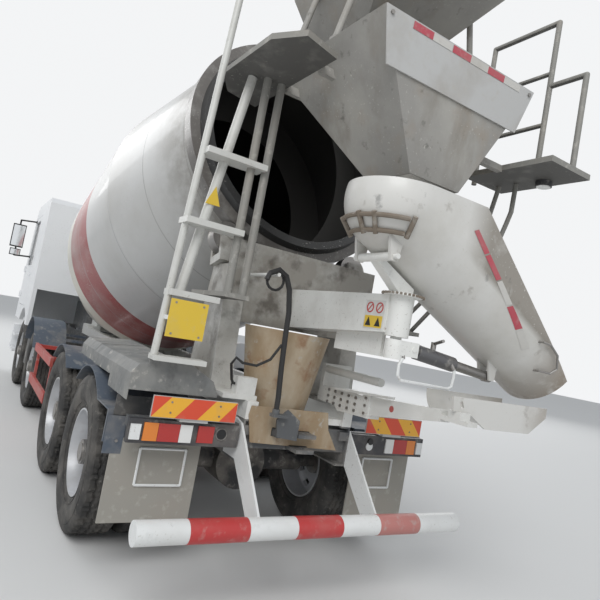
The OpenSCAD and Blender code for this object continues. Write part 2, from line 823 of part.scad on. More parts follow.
// Lugs under the cab that sit on the tilt pin
module pivot_lugs() {
    both_sides() difference() {
        union() {
            bar_y(pivot_x, pivot_lug_y, pivot_lug_y + 60, pivot_z, 40);
            span([pivot_x - 40, pivot_lug_y, pivot_z], [pivot_x + 40, pivot_lug_y + 60, cab_bottom + 60]);
            span([pivot_x - 40, pivot_lug_y, cab_bottom + 10], [cab_front - cab_wall + 1, pivot_lug_y + 60, cab_bottom + 60]);
        }
        bar_y(pivot_x, pivot_lug_y - 1, pivot_lug_y + 61, pivot_z, pivot_r + running_gap);
    }
}

hinge_x = door_front + 18;
hinge_y = cab_w / 2 + 18;

// Lugs and pins on the door posts
module door_lugs() {
    both_sides() for (z = [1400, 1850]) {
        translate([hinge_x, hinge_y, z]) cylinder(r = hinge_pin_r, h = 100);
        span([hinge_x - 10, cab_w / 2 - 5, z - 14], [hinge_x + 30, hinge_y + 12, z + 1]);
    }
}

flap_hinge_x = cab_front + 22;
flap_hinge_z = screen_low - 55;

// Lugs and pins that carry the front flap
module flap_lugs() {
    both_sides() {
        bar_y(flap_hinge_x, 700, 800, flap_hinge_z, hinge_pin_r);
        span([cab_front - 5, 799, flap_hinge_z - 15], [flap_hinge_x + 12, 815, flap_hinge_z + 15]);
    }
}

grille_slots = 5;
grille_low = cab_bottom + 180;
grille_pitch = 95;
grille_slot = 50;
grille_half = 640;

// Front flap with its grille slots
module front_panel() {
    color("white") from_last_axle() {
        difference() {
            span([cab_front + panel_gap, -1000, cab_bottom + 40], [cab_front + 40, 1000, flap_hinge_z - 20]);
            for (i = [0:grille_slots - 1])
                span([cab_front + 24, -grille_half, grille_low + i * grille_pitch],
                     [cab_front + 41, grille_half, grille_low + i * grille_pitch + grille_slot]);
        }
        both_sides() difference() {
            union() {
                bar_y(flap_hinge_x, 702, 798, flap_hinge_z, 16);
                span([cab_front + panel_gap + 4, 702, flap_hinge_z - 40], [cab_front + 36, 798, flap_hinge_z]);
            }
            bar_y(flap_hinge_x, 700, 800, flap_hinge_z, hinge_pin_r + running_gap);
        }
    }
}

// Dashboard, seats and steering wheel
module cab_interior() {
    color("dimgray") from_last_axle() {
        span([dash_back, -cab_w / 2 + 125, cab_floor + seat_gap], [cab_front - 150, cab_w / 2 - 125, screen_low + 40]);
        for (y = [-seat_y, seat_y]) translate([cab_back + 710, y, cab_floor]) seat();
        span([cab_back + cab_wall + seat_gap, -cab_w / 2 + 325, cab_floor + seat_gap],
             [cab_back + 450, cab_w / 2 - 325, cab_floor + 260]);
        translate([dash_back - 140, seat_y, cab_floor + 350]) steering_wheel();
    }
}

dash_back = cab_front - 440;
seat_y = cab_w / 2 - 665;

// One seat: its stand, cushion and back
module seat() {
    span([70, -150, seat_gap], [370, 150, 160]);
    span([0, -250, 159], [500, 250, 290]);
    side_slab(-240, 240, [[0, 260], [110, 280], [0, 920], [-100, 920]]);
}

wheel_ring_r = 225;

// Steering wheel with its spoke, hub and column
module steering_wheel() {
    rotate([0, -60, 0]) {
        difference() {
            cylinder(r = wheel_ring_r, h = 30);
            translate([0, 0, -1]) cylinder(r = wheel_ring_r - 30, h = 32);
        }
        cylinder(r = 60, h = 30);
        translate([25 - wheel_ring_r, -15, 5]) cube([2 * wheel_ring_r - 50, 30, 20]);
    }
    rod([-9, 0, 5], [170, 0, -90], 25);
}

module door_panel() {
    y1 = cab_w / 2;
    difference() {
        side_slab(y1 - cab_wall, y1, door_outline(panel_gap));
        side_slab(y1 - cab_wall - 1, y1 + 1, window_outline(0));
    }
    span([door_back + 60, y1 - 1, screen_low - 180], [door_back + 230, y1 + 24, screen_low - 140]);
    for (z = [1400, 1850]) difference() {
        union() {
            translate([hinge_x, hinge_y, z + 2]) cylinder(r = 15, h = 90);
            span([door_front - 60, y1 - 5, z + 2], [door_front - panel_gap - 1, y1 + 12, z + 92]);
            span([door_front - 60, y1 + 4, z + 2], [hinge_x, y1 + 12, z + 92]);
        }
        translate([hinge_x, hinge_y, z - 1]) cylinder(r = hinge_pin_r + running_gap, h = 102);
    }
}

module door_left() {
    color("white") from_last_axle() door_panel();
}

module door_right() {
    color("white") from_last_axle() mirror([0, 1, 0]) door_panel();
}

module door_pane() {
    y1 = cab_w / 2 - 20;
    side_slab(y1 - glass_t, y1, window_outline(seat_gap));
}

module door_glass_left() {
    color([0.3, 0.4, 0.45, 0.5]) from_last_axle() door_pane();
}

module door_glass_right() {
    color([0.3, 0.4, 0.45, 0.5]) from_last_axle() mirror([0, 1, 0]) door_pane();
}

mirror_x = 7000;
mirror_y = cab_w / 2 + 255;

// Mirrors on two bars that stand out from the door
module door_mirror() {
    y1 = cab_w / 2 + seat_gap;
    for (z = [2120, 2760]) {
        rod([mirror_x - 60, y1 + 5, z], [mirror_x, mirror_y, z - 20], 14);
        translate([mirror_x - 60, y1, z]) rotate([-90, 0, 0]) cylinder(r = 26, h = 12);
    }
    rod([mirror_x, mirror_y, 2090], [mirror_x, mirror_y, 2750], 14);
    span([mirror_x - 40, mirror_y - 105, 2250], [mirror_x + 50, mirror_y + 105, 2660]);
    span([mirror_x - 30, mirror_y - 85, 2100], [mirror_x + 50, mirror_y + 85, 2220]);
}

module mirror_left() {
    color("#222222") from_last_axle() door_mirror();
}

module mirror_right() {
    color("#222222") from_last_axle() mirror([0, 1, 0]) door_mirror();
}

// Drum

head_steps = 5;

// Radius and place of the domed head's points, drawn in by the wall
function head_curve(t) = [for (i = [0:head_steps])
    let (a = i / head_steps * 68)
    [(drum_head_r - t) * cos(a), drum_cone_front - (drum_head_depth - t) * sin(a)]];

cone_slope = (drum_r - ring_r + 45) / (drum_cyl_rear - ring_s);

// Section of the drum's wall: radius, and place along the axis
function drum_section() = concat(
    [[60, gearbox_start - 150], [60, gearbox_start + 1], [drive_flange_r, gearbox_start + 1]],
    [[drive_flange_r, gearbox_start + 30]],
    [for (i = [head_steps:-1:0]) head_curve(0)[i]],
    [[drum_r, drum_cyl_front], [drum_r, drum_cyl_rear], [ring_r - 40, ring_s - ring_w],
     [ring_r, ring_s - ring_w], [ring_r, ring_s], [mouth_r + lip_t + 20, ring_s], [mouth_r + lip_t, ring_s + lip_t],
     [mouth_r, ring_s + lip_t], [mouth_r, ring_s - ring_w / 2],
     [ring_r - 40 - drum_wall, ring_s - ring_w - 60],
     [drum_r - drum_wall, drum_cyl_rear], [drum_r - drum_wall, drum_cyl_front]],
    [for (p = head_curve(drum_wall)) p],
    [[0, drum_cone_front - drum_head_depth + 30], [0, gearbox_start - 150]]);

module drum() {
    color("lightgray") from_last_axle() along_drum() rotate_extrude($fn = 96) polygon(drum_section());
}

roller_reach = ring_r + roller_r + seat_gap;
roller_s = ring_s - ring_w / 2;

module at_roller(side) {
    along_drum() translate([-roller_reach * cos(roller_angle), side * roller_reach * sin(roller_angle), roller_s]) children();
}

module support_roller(side) {
    color("gray") from_last_axle() at_roller(side) difference() {
        translate([0, 0, -roller_w / 2]) cylinder(r = roller_r, h = roller_w);
        translate([0, 0, -roller_w / 2 - 1]) cylinder(r = roller_pin_r + running_gap, h = roller_w + 2);
    }
}

// Rear support

module rear_support() {
    color("whitesmoke") from_last_axle() {
        for (side = [-1, 1]) roller_bracket(side);
        both_sides() {
            side_slab(column_y - column_w / 2, column_y + column_w / 2,
                [[-640, subframe_top], [-160, subframe_top], [-300, 2020], [-560, 2020]]);
            span([-860, frame_w / 2 - subframe_w, subframe_top], [-100, column_y + column_w / 2, subframe_top + 30]);
        }
        span([cross_back, -column_y, 1640], [-320, column_y, 1990]);
        span([cross_back, -680, 1989], [cross_back + 10, 560, 2205]);
        bar_x(valve_x - 25, cross_back + 1, hook_y, hook_z, hook_r);
        span([foot_back, 370, subframe_top + 29], [foot_back + 68, 510, subframe_top + 145]);
        swivel_beam();
        lower_arm();
    }
}

cross_back = -560;
foot_back = -860;
foot_top = subframe_top + 30;
// Bar that the coiled hose hangs on
hook_y = 450;
hook_z = 1970;
hook_r = 12;
arm_end = -2045;
arm_half = 40;

// Arm under the beam for the stowed chute: a bolted root plate, the arm, a clamp and a flat end
module lower_arm() {
    low = arm_top - arm_h;
    span([-682, -column_y, foot_top + seat_gap], [-642, arm_y + 55, arm_top + 150]);
    side_slab(arm_y - 55, arm_y + 55,
        [[-680, foot_top + 1], [foot_back - 3, foot_top + 1], [foot_back - 46, low - 32], [-1200, low - 15],
         [-1200, arm_top - 9], [-940, arm_top + 9], [-690, arm_top - 21], [-680, arm_top - 21]]);
    side_slab(arm_y - arm_half, arm_y + arm_half,
        [[-1150, low], [-1200, low], [-1850, low + 110], [-1850, arm_top + 52], [-1150, arm_top]]);
    span([-1235, arm_y - 55, low - 15], [-1175, arm_y + 55, arm_top + 12]);
    span([arm_end, arm_y - arm_half, arm_top], [-1800, arm_y + arm_half, arm_top + 25]);
    span([-1990, arm_y - arm_half, arm_top + 24], [-1900, arm_y + arm_half, spare_seat_z - seat_gap]);
    side_slab(arm_y + arm_half - 1, arm_y + 100, [[-900, arm_top - 12], [-1460, arm_top + 30], [-1460, arm_top + 45], [-900, arm_top + 3]]);
    bar_x(-1300, -681, arm_y + 30, arm_top + 110, 28);
}

// Beam to the rear that ends in an upright bush for the swivel post
module swivel_beam() {
    bush_low = beam_top - beam_end_h - 15;
    difference() {
        union() {
            side_slab(-beam_w / 2, beam_w / 2,
                [[cross_back - seat_gap, beam_top - beam_root_h], [post_x + 30, beam_top - beam_end_h],
                 [post_x + 30, beam_top], [cross_back - seat_gap, beam_top]]);
            side_slab(-12, 12, [[-1140, beam_top - 240], [-1140, beam_top - 360], [post_x + 100, beam_top - 355],
                                [post_x + 100, beam_top - 215]]);
            translate([post_x, 0, bush_low]) cylinder(r = bush_r, h = beam_top - bush_low);
        }
        translate([post_x, 0, bush_low - 1]) cylinder(r = post_pin_r + running_gap, h = beam_top - bush_low + 2);
    }
}

// Two cheeks and a pin that hold a roller under the track
module roller_bracket(side) {
    at_roller(side) {
        translate([0, 0, -roller_w / 2 - 45]) cylinder(r = roller_pin_r, h = roller_w + 90);
        for (z = [-roller_w / 2 - 36, roller_w / 2 + 6])
            translate([-190, -70, z]) cube([240, 140, 30]);
        translate([-190, -70, -roller_w / 2 - 36]) cube([55, 140, roller_w + 72]);
    }
}

apron_y = 100;

// Curved plate that turns spilt concrete away from the frame's end
skirt_back = frame_start - 11;
skirt_top = rail_top + 90;

// Half cone under the outlet, with a flat skirt below it behind the frame's end
module splash_apron() {
    low = rail_top + 45 + seat_gap;
    color("tan") from_last_axle() {
        translate([-640, apron_y, low]) rotate([0, 0, 90]) rotate_extrude(angle = 180, $fn = 72)
            polygon([[218, 0], [228, 0], [325, 555], [315, 555]]);
        difference() {
            cross_slab(skirt_back, skirt_back + 8,
                [[-205, skirt_top], [-230, 1000], [-325, 862], [370, 885], [410, 1060], [400, skirt_top]]);
            for (z = [rail_top - 180, rail_top - 80])
                span([skirt_back - 1, -76, z - 6], [skirt_back + 9, 76, z + 31]);
            span([skirt_back - 1, 94, 934], [skirt_back + 9, 226, 991]);
        }
        span([skirt_back + 7, apron_y - 40, skirt_top - 30], [-868, apron_y + 40, skirt_top - 10]);
    }
}

cover_back = -900;
cover_front = 640;
cover_t = 6;
cover_in = 650;

// Outline of the cover across the truck, drawn in by an amount
function cover_outline(t) = [
    [1203 - t, 1160], [1203 - t, 1240 - t / 2], [1165 - t / 2, 1296 - t], [840, 1322 - t], [690 + t / 2, 1240 - t / 2],
    [cover_in + t, 1165]];

// Sheet cover over the left rear wheels: rows of rear end, front end and drop
cover_rows = [[cover_back, -380, 0], [-380, 150, 3], [150, cover_front, -2]];

module wheel_cover() {
    color("gray") from_last_axle() {
        for (row = cover_rows)
            translate([0, 0, -row[2]]) cross_slab(row[0], row[1],
                concat(cover_outline(0), [for (i = [5:-1:0]) cover_outline(cover_t)[i]]));
        cross_slab(cover_back, cover_back + cover_t,
            concat(cover_outline(0), [[cover_in, 1145], [1203, 1145]]));
        span([cover_back + cover_t - 1, 1203 - cover_t, 1085], [-420, 1203, 1165]);
        span([cover_back, 850, 1290], [cover_back + 15, 1110, 1335 - seat_gap]);
        for (x = [-600, -250])
            span([x, column_face + seat_gap, 1180], [x + 40, cover_in + cover_t, 1200]);
        span([580, frame_w / 2 + seat_gap, subframe_top - 40], [620, cover_in, subframe_top - 10]);
        span([580, cover_in - 10, subframe_top - 40], [620, cover_in + cover_t, 1190]);
    }
}

// Hoses

hose_sides = 10;

// Direction of a route at one of its points
function way_at(p, i) =
    let (d = p[min(i + 1, len(p) - 1)] - p[max(i - 1, 0)])
    d / norm(d);

// Ring of points about a route's point, square to its direction
function ring_at(c, d, r) =
    let (u = [1, 0, 0] - d[0] * d, v = cross(d, u / norm(u)))
    [for (k = [0:hose_sides - 1]) c + r * cos(360 * k / hose_sides) * u / norm(u) + r * sin(360 * k / hose_sides) * v];

// A hose of radius r along a route that lies nearly square to X
module hose(p, r) {
    n = hose_sides;
    last = len(p) - 1;
    polyhedron(
        points = [for (i = [0:last]) each ring_at(p[i], way_at(p, i), r)],
        faces = concat(
            [[for (k = [0:n - 1]) k]],
            [for (i = [0:last - 1], k = [0:n - 1])
                [i * n + k, (i + 1) * n + k, (i + 1) * n + (k + 1) % n, i * n + (k + 1) % n]],
            [[for (k = [n - 1:-1:0]) last * n + k]]));
}

thick_r = 18;
thin_r = 9;
coil_r = 60;
thick_top = hook_z + hook_r + thick_r + 1.5;
coil_z = hook_z + hook_r + thin_r + 1 - coil_r;

// Water hose that hangs over the hook and ends on the valve: rows of x, y and z
thick_route = [[-1032, 527, 1925], [-1032, 512, 1968], [-1032, hook_y, thick_top], [-1032, 392, 1972], [-1028, 352, 1893],
               [-1022, 322, 1750], [-1018, 313, 1587], [valve_x, 298, 1386], [valve_x, 281, 1200], [valve_x, valve_y, valve_top + 1]];
// Air hose that leaves the white box, sags and is tied to the thick one
sag_route = [[-826, 510.5, subframe_top + 95], [-826, 524, subframe_top + 95], [-850, 550, subframe_top + 120],
             [-930, 610, 1370], [-975, 605, 1415], [-985, 561, 1389], [-985, 463, 1383], [-985, 372, 1434],
             [-1008, 322, 1540]];

module hoses() {
    color("#1c1c1c") from_last_axle() {
        hose(thick_route, thick_r);
        hose(sag_route, thin_r);
        hose([for (a = [0:24:336]) [-1003, hook_y + coil_r * sin(a), coil_z + coil_r * cos(a)]], thin_r);
    }
}

// Hoppers

// A row of a funnel from its rear edge, front edge and half width: all five limits, drawn in by the sheet
function funnel_row(row, z, t) = [row[0] + t, row[1] - t, -row[2] + t, row[2] - t, z];

// A solid funnel between two rectangles, each given by its rear, front, right and left limit and its height
module funnel_solid(low, high) {
    hull() {
        translate([0, 0, low[4]]) linear_extrude(1) polygon([[low[0], low[2]], [low[1], low[2]], [low[1], low[3]], [low[0], low[3]]]);
        translate([0, 0, high[4] - 1]) linear_extrude(1) polygon([[high[0], high[2]], [high[1], high[2]], [high[1], high[3]], [high[0], high[3]]]);
    }
}

outlet_front = -1440;
outlet_rear = -1800;
// Rear edge, front edge and half width of the discharge hopper's outlet and rim
outlet_row = [outlet_rear, outlet_front, outlet_half_w];
rim_row = [hopper_rear, hopper_front, hopper_half_w];

// Half width of the discharge hopper at a height
function hopper_half_at(z) =
    outlet_half_w + (hopper_half_w - outlet_half_w) * (z - hopper_low) / (hopper_top - hopper_low);

module discharge_hopper() {
    color("gray") from_last_axle() difference() {
        union() {
            funnel_solid(funnel_row(outlet_row, hopper_low, 0), funnel_row(rim_row, hopper_top, 0));
            for (x = [-1350, -950])
                span([x, hopper_half_at(left_deck_z - 60) - 40, left_deck_z - 60], [x + 40, hopper_half_w, left_deck_z - 10]);
            for (x = [-1700, -1350])
                span([x, -right_deck_in + seat_gap, right_deck_z - 45],
                     [x + 40, 40 - hopper_half_at(right_deck_z - 45), right_deck_z - 5]);
        }
        translate([0, 0, 0.5])
            funnel_solid(funnel_row(outlet_row, hopper_low - 1, sheet_t), funnel_row(rim_row, hopper_top + 1, sheet_t));
    }
}

feed_low = hopper_top + 230;
feed_top = hopper_top + feed_rise;
// Rear edge, front edge and half width of the feed hopper's throat and rim
throat_row = [-1100, -650, 210];
feed_row = [-1700, -560, 480];

module feed_hopper() {
    color("lightgray") from_last_axle() difference() {
        union() {
            funnel_solid(funnel_row(throat_row, feed_low, 0), funnel_row(feed_row, feed_top, 0));
            both_sides() for (x = [-840, -1400]) {
                rod([x, hopper_half_w - 22, hopper_top + 8], [x, feed_row[2] - 43, feed_top - 60], 20);
                span([x - 30, hopper_half_w - 45, hopper_top + seat_gap], [x + 30, hopper_half_w, hopper_top + 14]);
            }
        }
        translate([0, 0, 0.5])
            funnel_solid(funnel_row(throat_row, feed_low - 1, sheet_t), funnel_row(feed_row, feed_top + 1, sheet_t));
    }
}

// Platforms, posts and rails

left_deck_z = 3200;
right_deck_z = 2920;
right_deck_out = 1030;
right_deck_in = 640;
deck_t = 35;
deck_post_x = -950;
deck_post_r = 26;
deck_post_rows = [635, 735];
column_face = column_y + column_w / 2;
foot_z = 1800;
strut_y = 900;
strut_r = 16;
rail_y = -870;
rail_r = 18;

module platforms() {
    color("silver") from_last_axle() {
        left_deck();
        right_deck();
        right_rails();
    }
}

// Deck beside the hopper on two upright tubes from the rear support's column
module left_deck() {
    translate([0, 0, left_deck_z - deck_t]) linear_extrude(deck_t)
        polygon([[-550, 840], [-770, 965], [-1380, 950], [-1570, 830], [-1500, hopper_half_w + seat_gap], [-480, hopper_half_w + seat_gap]]);
    for (y = deck_post_rows)
        translate([deck_post_x, y, foot_z - 10]) cylinder(r = deck_post_r, h = left_deck_z - deck_t - foot_z + 11);
    span([deck_post_x - 30, column_face + seat_gap, foot_z - 30], [-400, 765, foot_z]);
}

// Bent struts of the right deck, from foot to head: rows of x and z
strut_routes = [
    [[-600, foot_z - 40], [-1230, 2330], [-1390, 2560], [-1434, 2695], [-1491, right_deck_z + 40]],
    [[-800, foot_z - 40], [-1365, 2330], [-1547, 2502], [-1584, 2611], [-1609, 2692], [-1614, right_deck_z + 40]]];

// Deck on the right on two bent tubes, with each tube a solid of its own
module right_deck() {
    span([rear_reach, -right_deck_out, right_deck_z - deck_t], [-1390, -right_deck_in, right_deck_z]);
    span([-900, -strut_y - 40, foot_z - 30], [-400, -column_face - seat_gap, foot_z]);
    for (route = strut_routes) intersection() {
        hose([for (p = route) [p[0], -strut_y, p[1]]], strut_r);
        span([rear_reach, -strut_y - 50, foot_z + seat_gap], [-300, -strut_y + 50, right_deck_z - deck_t - seat_gap]);
    }
}

// Hand rails on the right deck: rows of front x, rear x and height
module right_rails() {
    for (hoop = [[-1270, -1780, 3950], [-1780, -2030, 3510]]) {
        for (x = [hoop[0], hoop[1]]) {
            translate([x, rail_y, right_deck_z + seat_gap]) cylinder(r = rail_r, h = hoop[2] - right_deck_z - seat_gap);
            translate([x, rail_y, hoop[2]]) sphere(r = rail_r);
        }
        bar_x(hoop[1], hoop[0], rail_y, hoop[2], rail_r);
    }
    for (z = [3250, 3600]) bar_x(-1780, -1270, rail_y, z, rail_r - 3);
    span([-1330, rail_y - 50, 3300], [-1210, rail_y + 50, 3500]);
}

// Ladder on the left

tread_rows = [[1735, 1085, 797], [2167, 1079, 722], [2600, 1033, 650]];

module ladder() {
    color("whitesmoke") from_last_axle() difference() {
        union() {
            rod([-930, 1105, 1350], [-900, 985, 3900], 22);
            for (t = tread_rows)
                span([-1010, t[2], t[0] - 18], [-860, t[1] + 12, t[0] + 18]);
            span([-1000, 800, 1335], [-880, 1120, 1365]);
            rod([-890, 1015, 1740], [-890, 814, left_deck_z - deck_t - 4.5], 30);
        }
        for (y = deck_post_rows)
            translate([deck_post_x, y, foot_z]) cylinder(r = deck_post_r + seat_gap, h = left_deck_z - foot_z);
    }
}

// Chute

ear_x = 135;
ear_t = 20;
jack_foot = [-100, jack_z];
jack_eye = [-800, jack_z - 80];
jack_way = jack_eye - jack_foot;
jack_len = norm(jack_way);
jack_pin_r = 15;
eye_pin_r = 12;
eye_play = 9;
wall_rise = 600;
rim_far = -2000;

// A slab drawn in Y and Z, from x0 to x1
module cross_slab(x0, x1, points) {
    translate([x0, 0, 0]) rotate([90, 0, 90]) linear_extrude(x1 - x0) polygon(points);
}

// The trough and its round bowl as a solid, drawn in by the sheet
module chute_form(t, extra) {
    r = trough_r - t;
    translate([post_x, bowl_back, bowl_z]) {
        rotate([90 + trough_slope, 0, 0]) {
            cylinder(r = r, h = trough_len + extra);
            translate([-r, 0, 0]) cube([2 * r, wall_rise, trough_len + extra]);
        }
        sphere(r = r);
        rotate([trough_slope, 0, 0]) cylinder(r = r, h = wall_rise);
    }
}

// Everything under the chute's rim, which is level round the bowl and then falls
module below_rim(lift) {
    fall = (rim_break - rim_far) * tan(rim_slope);
    cross_slab(post_x - 400, post_x + 400,
        [[600, 900], [600, bowl_rim_z + lift], [rim_break, bowl_rim_z + lift],
         [rim_far, bowl_rim_z - fall + lift], [rim_far, 900]]);
}

module chute() {
    color("whitesmoke") from_last_axle() difference() {
        union() {
            intersection() {
                chute_form(0, 0);
                below_rim(0);
            }
            chute_ears();
        }
        intersection() {
            chute_form(trough_t, 1);
            below_rim(1);
        }
        bar_x(post_x - 200, post_x + 200, tilt_back, tilt_z, tilt_pin_r + running_gap);
    }
}

// Ears under the bowl for the tilt pin, and lugs with a pin for the jack's eye
module chute_ears() {
    for (x = [post_x - ear_x - ear_t, post_x + ear_x])
        cross_slab(x, x + ear_t, [[tilt_back - 24, tilt_z - 24], [tilt_back + 24, tilt_z - 24],
                                  [tilt_back + 50, tilt_z + 110], [tilt_back - 50, tilt_z + 110]]);
    y = jack_eye[0];
    z = jack_eye[1];
    for (x = [post_x - 46, post_x + 34])
        cross_slab(x, x + 12, [[y - 22, z - 22], [y + 22, z - 22], [y + 60, z + 110], [y - 40, z + 90]]);
    bar_x(post_x - 46, post_x + 46, y, z, eye_pin_r);
}

module chute_post() {
    color("whitesmoke") from_last_axle() {
        translate([post_x, 0, jack_z - 70]) cylinder(r = post_pin_r, h = beam_top - jack_z + 75);
        translate([post_x, 0, beam_top + seat_gap]) cylinder(r = 110, h = 15);
        cross_slab(post_x - 35, post_x + 35,
            [[-40, beam_top + 5], [55, beam_top + 5], [tilt_back + 15, tilt_z - 15], [tilt_back - 12, tilt_z + 8], [-40, beam_top + 50]]);
        bar_x(post_x - ear_x + 5, post_x + ear_x - 5, tilt_back, tilt_z, 24);
        bar_x(post_x - tilt_pin_len / 2, post_x + tilt_pin_len / 2, tilt_back, tilt_z, tilt_pin_r);
        jack_bracket();
    }
}

// Collar and plates that hold the jack's lower pin
module jack_bracket() {
    translate([post_x, 0, jack_z - 70]) cylinder(r = 55, h = 110);
    for (x = [post_x - 55, post_x + 35])
        span([x, jack_foot[0] - 35, jack_z - 45], [x + 20, 0, jack_z + 40]);
    bar_x(post_x - 60, post_x + 60, jack_foot[0], jack_z, jack_pin_r);
}

// Local Z runs from the jack's lower pin to its eye
module along_jack() {
    translate([post_x, jack_foot[0], jack_foot[1]]) rotate([atan2(-jack_way[0], jack_way[1]), 0, 0]) children();
}

module jack_barrel() {
    color("gray") from_last_axle() along_jack() difference() {
        union() {
            translate([-30, 0, 0]) rotate([0, 90, 0]) cylinder(r = 32, h = 60);
            cylinder(r = 22, h = 70);
            translate([0, 0, 62]) cylinder(r = jack_barrel_r, h = barrel_len - 62);
        }
        translate([-40, 0, 0]) rotate([0, 90, 0]) cylinder(r = jack_pin_r + running_gap, h = 80);
        translate([0, 0, 130]) cylinder(r = jack_rod_r + running_gap, h = barrel_len);
    }
}

module jack_rod() {
    color("lightgray") from_last_axle() along_jack() difference() {
        union() {
            translate([0, 0, 180]) cylinder(r = jack_rod_r, h = jack_len - 180);
            translate([-25, 0, jack_len]) rotate([0, 90, 0]) cylinder(r = 34, h = 50);
        }
        translate([-40, 0, jack_len]) rotate([0, 90, 0]) cylinder(r = eye_pin_r + eye_play, h = 80);
    }
}

spare_z = 1445;
spare_r = 165;
spare_t = 6;
spare_out = -1090;
spare_in = -385;
spare_back = -1960;
spare_seat_z = 1365;

// Stowed extension chute across the lower arm's end: a half trough with a flat plate along its rear side
module spare_chute() {
    x = spare_back + 10 + spare_r;
    color("whitesmoke") from_last_axle() {
        difference() {
            bar_y(x, spare_out, spare_in, spare_z, spare_r);
            bar_y(x, spare_out - 1, spare_in + 1, spare_z, spare_r - spare_t);
            span([x - spare_r - 1, spare_out - 1, spare_z], [x + spare_r + 1, spare_in + 1, spare_z + spare_r + 1]);
        }
        difference() {
            cross_slab(spare_back, spare_back + 12,
                [[spare_out, spare_z], [-250, spare_z], [-265, spare_seat_z], [spare_in, spare_seat_z],
                 [-542, spare_z - spare_r + 2], [-940, spare_z - spare_r], [spare_out, spare_z - 60]]);
            cross_slab(spare_back - 1, spare_back + 13,
                [[-300, spare_z - 25], [-325, spare_z - 20], [-345, spare_z - 55], [-320, spare_z - 60]]);
        }
    }
}

module roller_left() {
    support_roller(1);
}

module roller_right() {
    support_roller(-1);
}

chassis_frame();
drum_subframe();
rear_support();
drive_units();
axles();
leaf_springs();
mudguards();
mudflaps();
side_guards();
rear_bumper();
lamps();
marker_boards();
tanks();
chassis_boxes();
feed_hopper();
discharge_hopper();
platforms();
ladder();
front_bumper();
spare_chute();
splash_apron();
wheel_cover();
hoses();
cab_shell();
front_panel();
cab_interior();
windscreen();
door_left();
door_right();
door_glass_left();
door_glass_right();
mirror_left();
mirror_right();
drum();
roller_left();
roller_right();
chute_post();
chute();
jack_barrel();
jack_rod();
knuckle(axle_1, 1);  // knuckle_1L
knuckle(axle_1, -1);  // knuckle_1R
knuckle(axle_2, 1);  // knuckle_2L
knuckle(axle_2, -1);  // knuckle_2R
front_tyre(axle_1, 1);  // tyre_1L
front_tyre(axle_1, -1);  // tyre_1R
front_tyre(axle_2, 1);  // tyre_2L
front_tyre(axle_2, -1);  // tyre_2R
front_rim(axle_1, 1);  // rim_1L
front_rim(axle_1, -1);  // rim_1R
front_rim(axle_2, 1);  // rim_2L
front_rim(axle_2, -1);  // rim_2R
twin_tyres(axle_3, 1);  // tyres_3L
twin_tyres(axle_3, -1);  // tyres_3R
twin_tyres(axle_4, 1);  // tyres_4L
twin_tyres(axle_4, -1);  // tyres_4R
twin_rims(axle_3, 1);  // rims_3L
twin_rims(axle_3, -1);  // rims_3R
twin_rims(axle_4, 1);  // rims_4L
twin_rims(axle_4, -1);  // rims_4R
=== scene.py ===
import math

import bpy
from mathutils import Matrix, Vector


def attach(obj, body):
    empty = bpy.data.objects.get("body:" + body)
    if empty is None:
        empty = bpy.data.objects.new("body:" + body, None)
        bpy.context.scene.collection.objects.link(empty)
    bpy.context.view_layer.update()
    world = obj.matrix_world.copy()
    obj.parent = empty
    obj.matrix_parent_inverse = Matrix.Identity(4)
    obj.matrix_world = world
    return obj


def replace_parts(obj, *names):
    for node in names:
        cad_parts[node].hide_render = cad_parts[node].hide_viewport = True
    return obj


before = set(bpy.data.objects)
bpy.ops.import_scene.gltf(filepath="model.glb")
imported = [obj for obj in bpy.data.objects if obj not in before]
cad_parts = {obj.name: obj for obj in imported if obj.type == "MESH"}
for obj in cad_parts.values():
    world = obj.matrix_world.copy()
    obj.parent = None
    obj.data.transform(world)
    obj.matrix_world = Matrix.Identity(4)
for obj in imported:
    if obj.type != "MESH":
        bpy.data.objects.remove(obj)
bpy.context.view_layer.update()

# Places are measured from the ground under the last axle: x forward, y left, z up, in metres
REAR_AXLE_X = -2.7
WHEEL_Z = 0.538
AXLES = {1: 6.0, 2: 4.2, 3: 1.35, 4: 0.0}
STEERED_AXLES = (1, 2)
STEERED_Y, TWIN_OUTER_Y, TWIN_INNER_Y = 1.04, 1.10, 0.765
SIDES = ((1, "L"), (-1, "R"))
DOOR_SIDES = ((1, "left"), (-1, "right"))
DRUM_TILT = math.radians(15.3)
DRUM_Z = 3.05
POST_X = -1.70
CHUTE_R, CHUTE_BACK, CHUTE_AXIS_Z = 0.285, 0.170, 2.435
CHUTE_SLOPE = math.radians(26)


def here(x, y, z):
    return Vector((x + REAR_AXLE_X, y, z))


# Camera

CAMERA_AT = (-4.036, 2.076, 1.629)
CAMERA_YAW = math.radians(31.11)
CAMERA_PITCH = math.radians(3.50)
CAMERA_ROLL = math.radians(10.37)
FOCAL_PX = 544.5
PHOTO_PX = 600
SENSOR_MM = 36.0


def make_camera():
    ct, st = math.cos(CAMERA_PITCH), math.sin(CAMERA_PITCH)
    cy, sy = math.cos(CAMERA_YAW), math.sin(CAMERA_YAW)
    ahead = Vector((ct * cy, -ct * sy, st))
    level = Vector((-sy, -cy, 0))
    above = level.cross(ahead)
    right = math.cos(CAMERA_ROLL) * level + math.sin(CAMERA_ROLL) * above
    up = -math.sin(CAMERA_ROLL) * level + math.cos(CAMERA_ROLL) * above
    data = bpy.data.cameras.new("camera")
    data.sensor_width = SENSOR_MM
    data.lens = FOCAL_PX / PHOTO_PX * SENSOR_MM
    data.clip_end = 200
    camera = bpy.data.objects.new("camera", data)
    bpy.context.scene.collection.objects.link(camera)
    camera.matrix_world = Matrix.Translation(here(*CAMERA_AT)) @ Matrix(
        (right, up, -ahead)).transposed().to_4x4()
    bpy.context.scene.camera = camera


make_camera()


# Materials

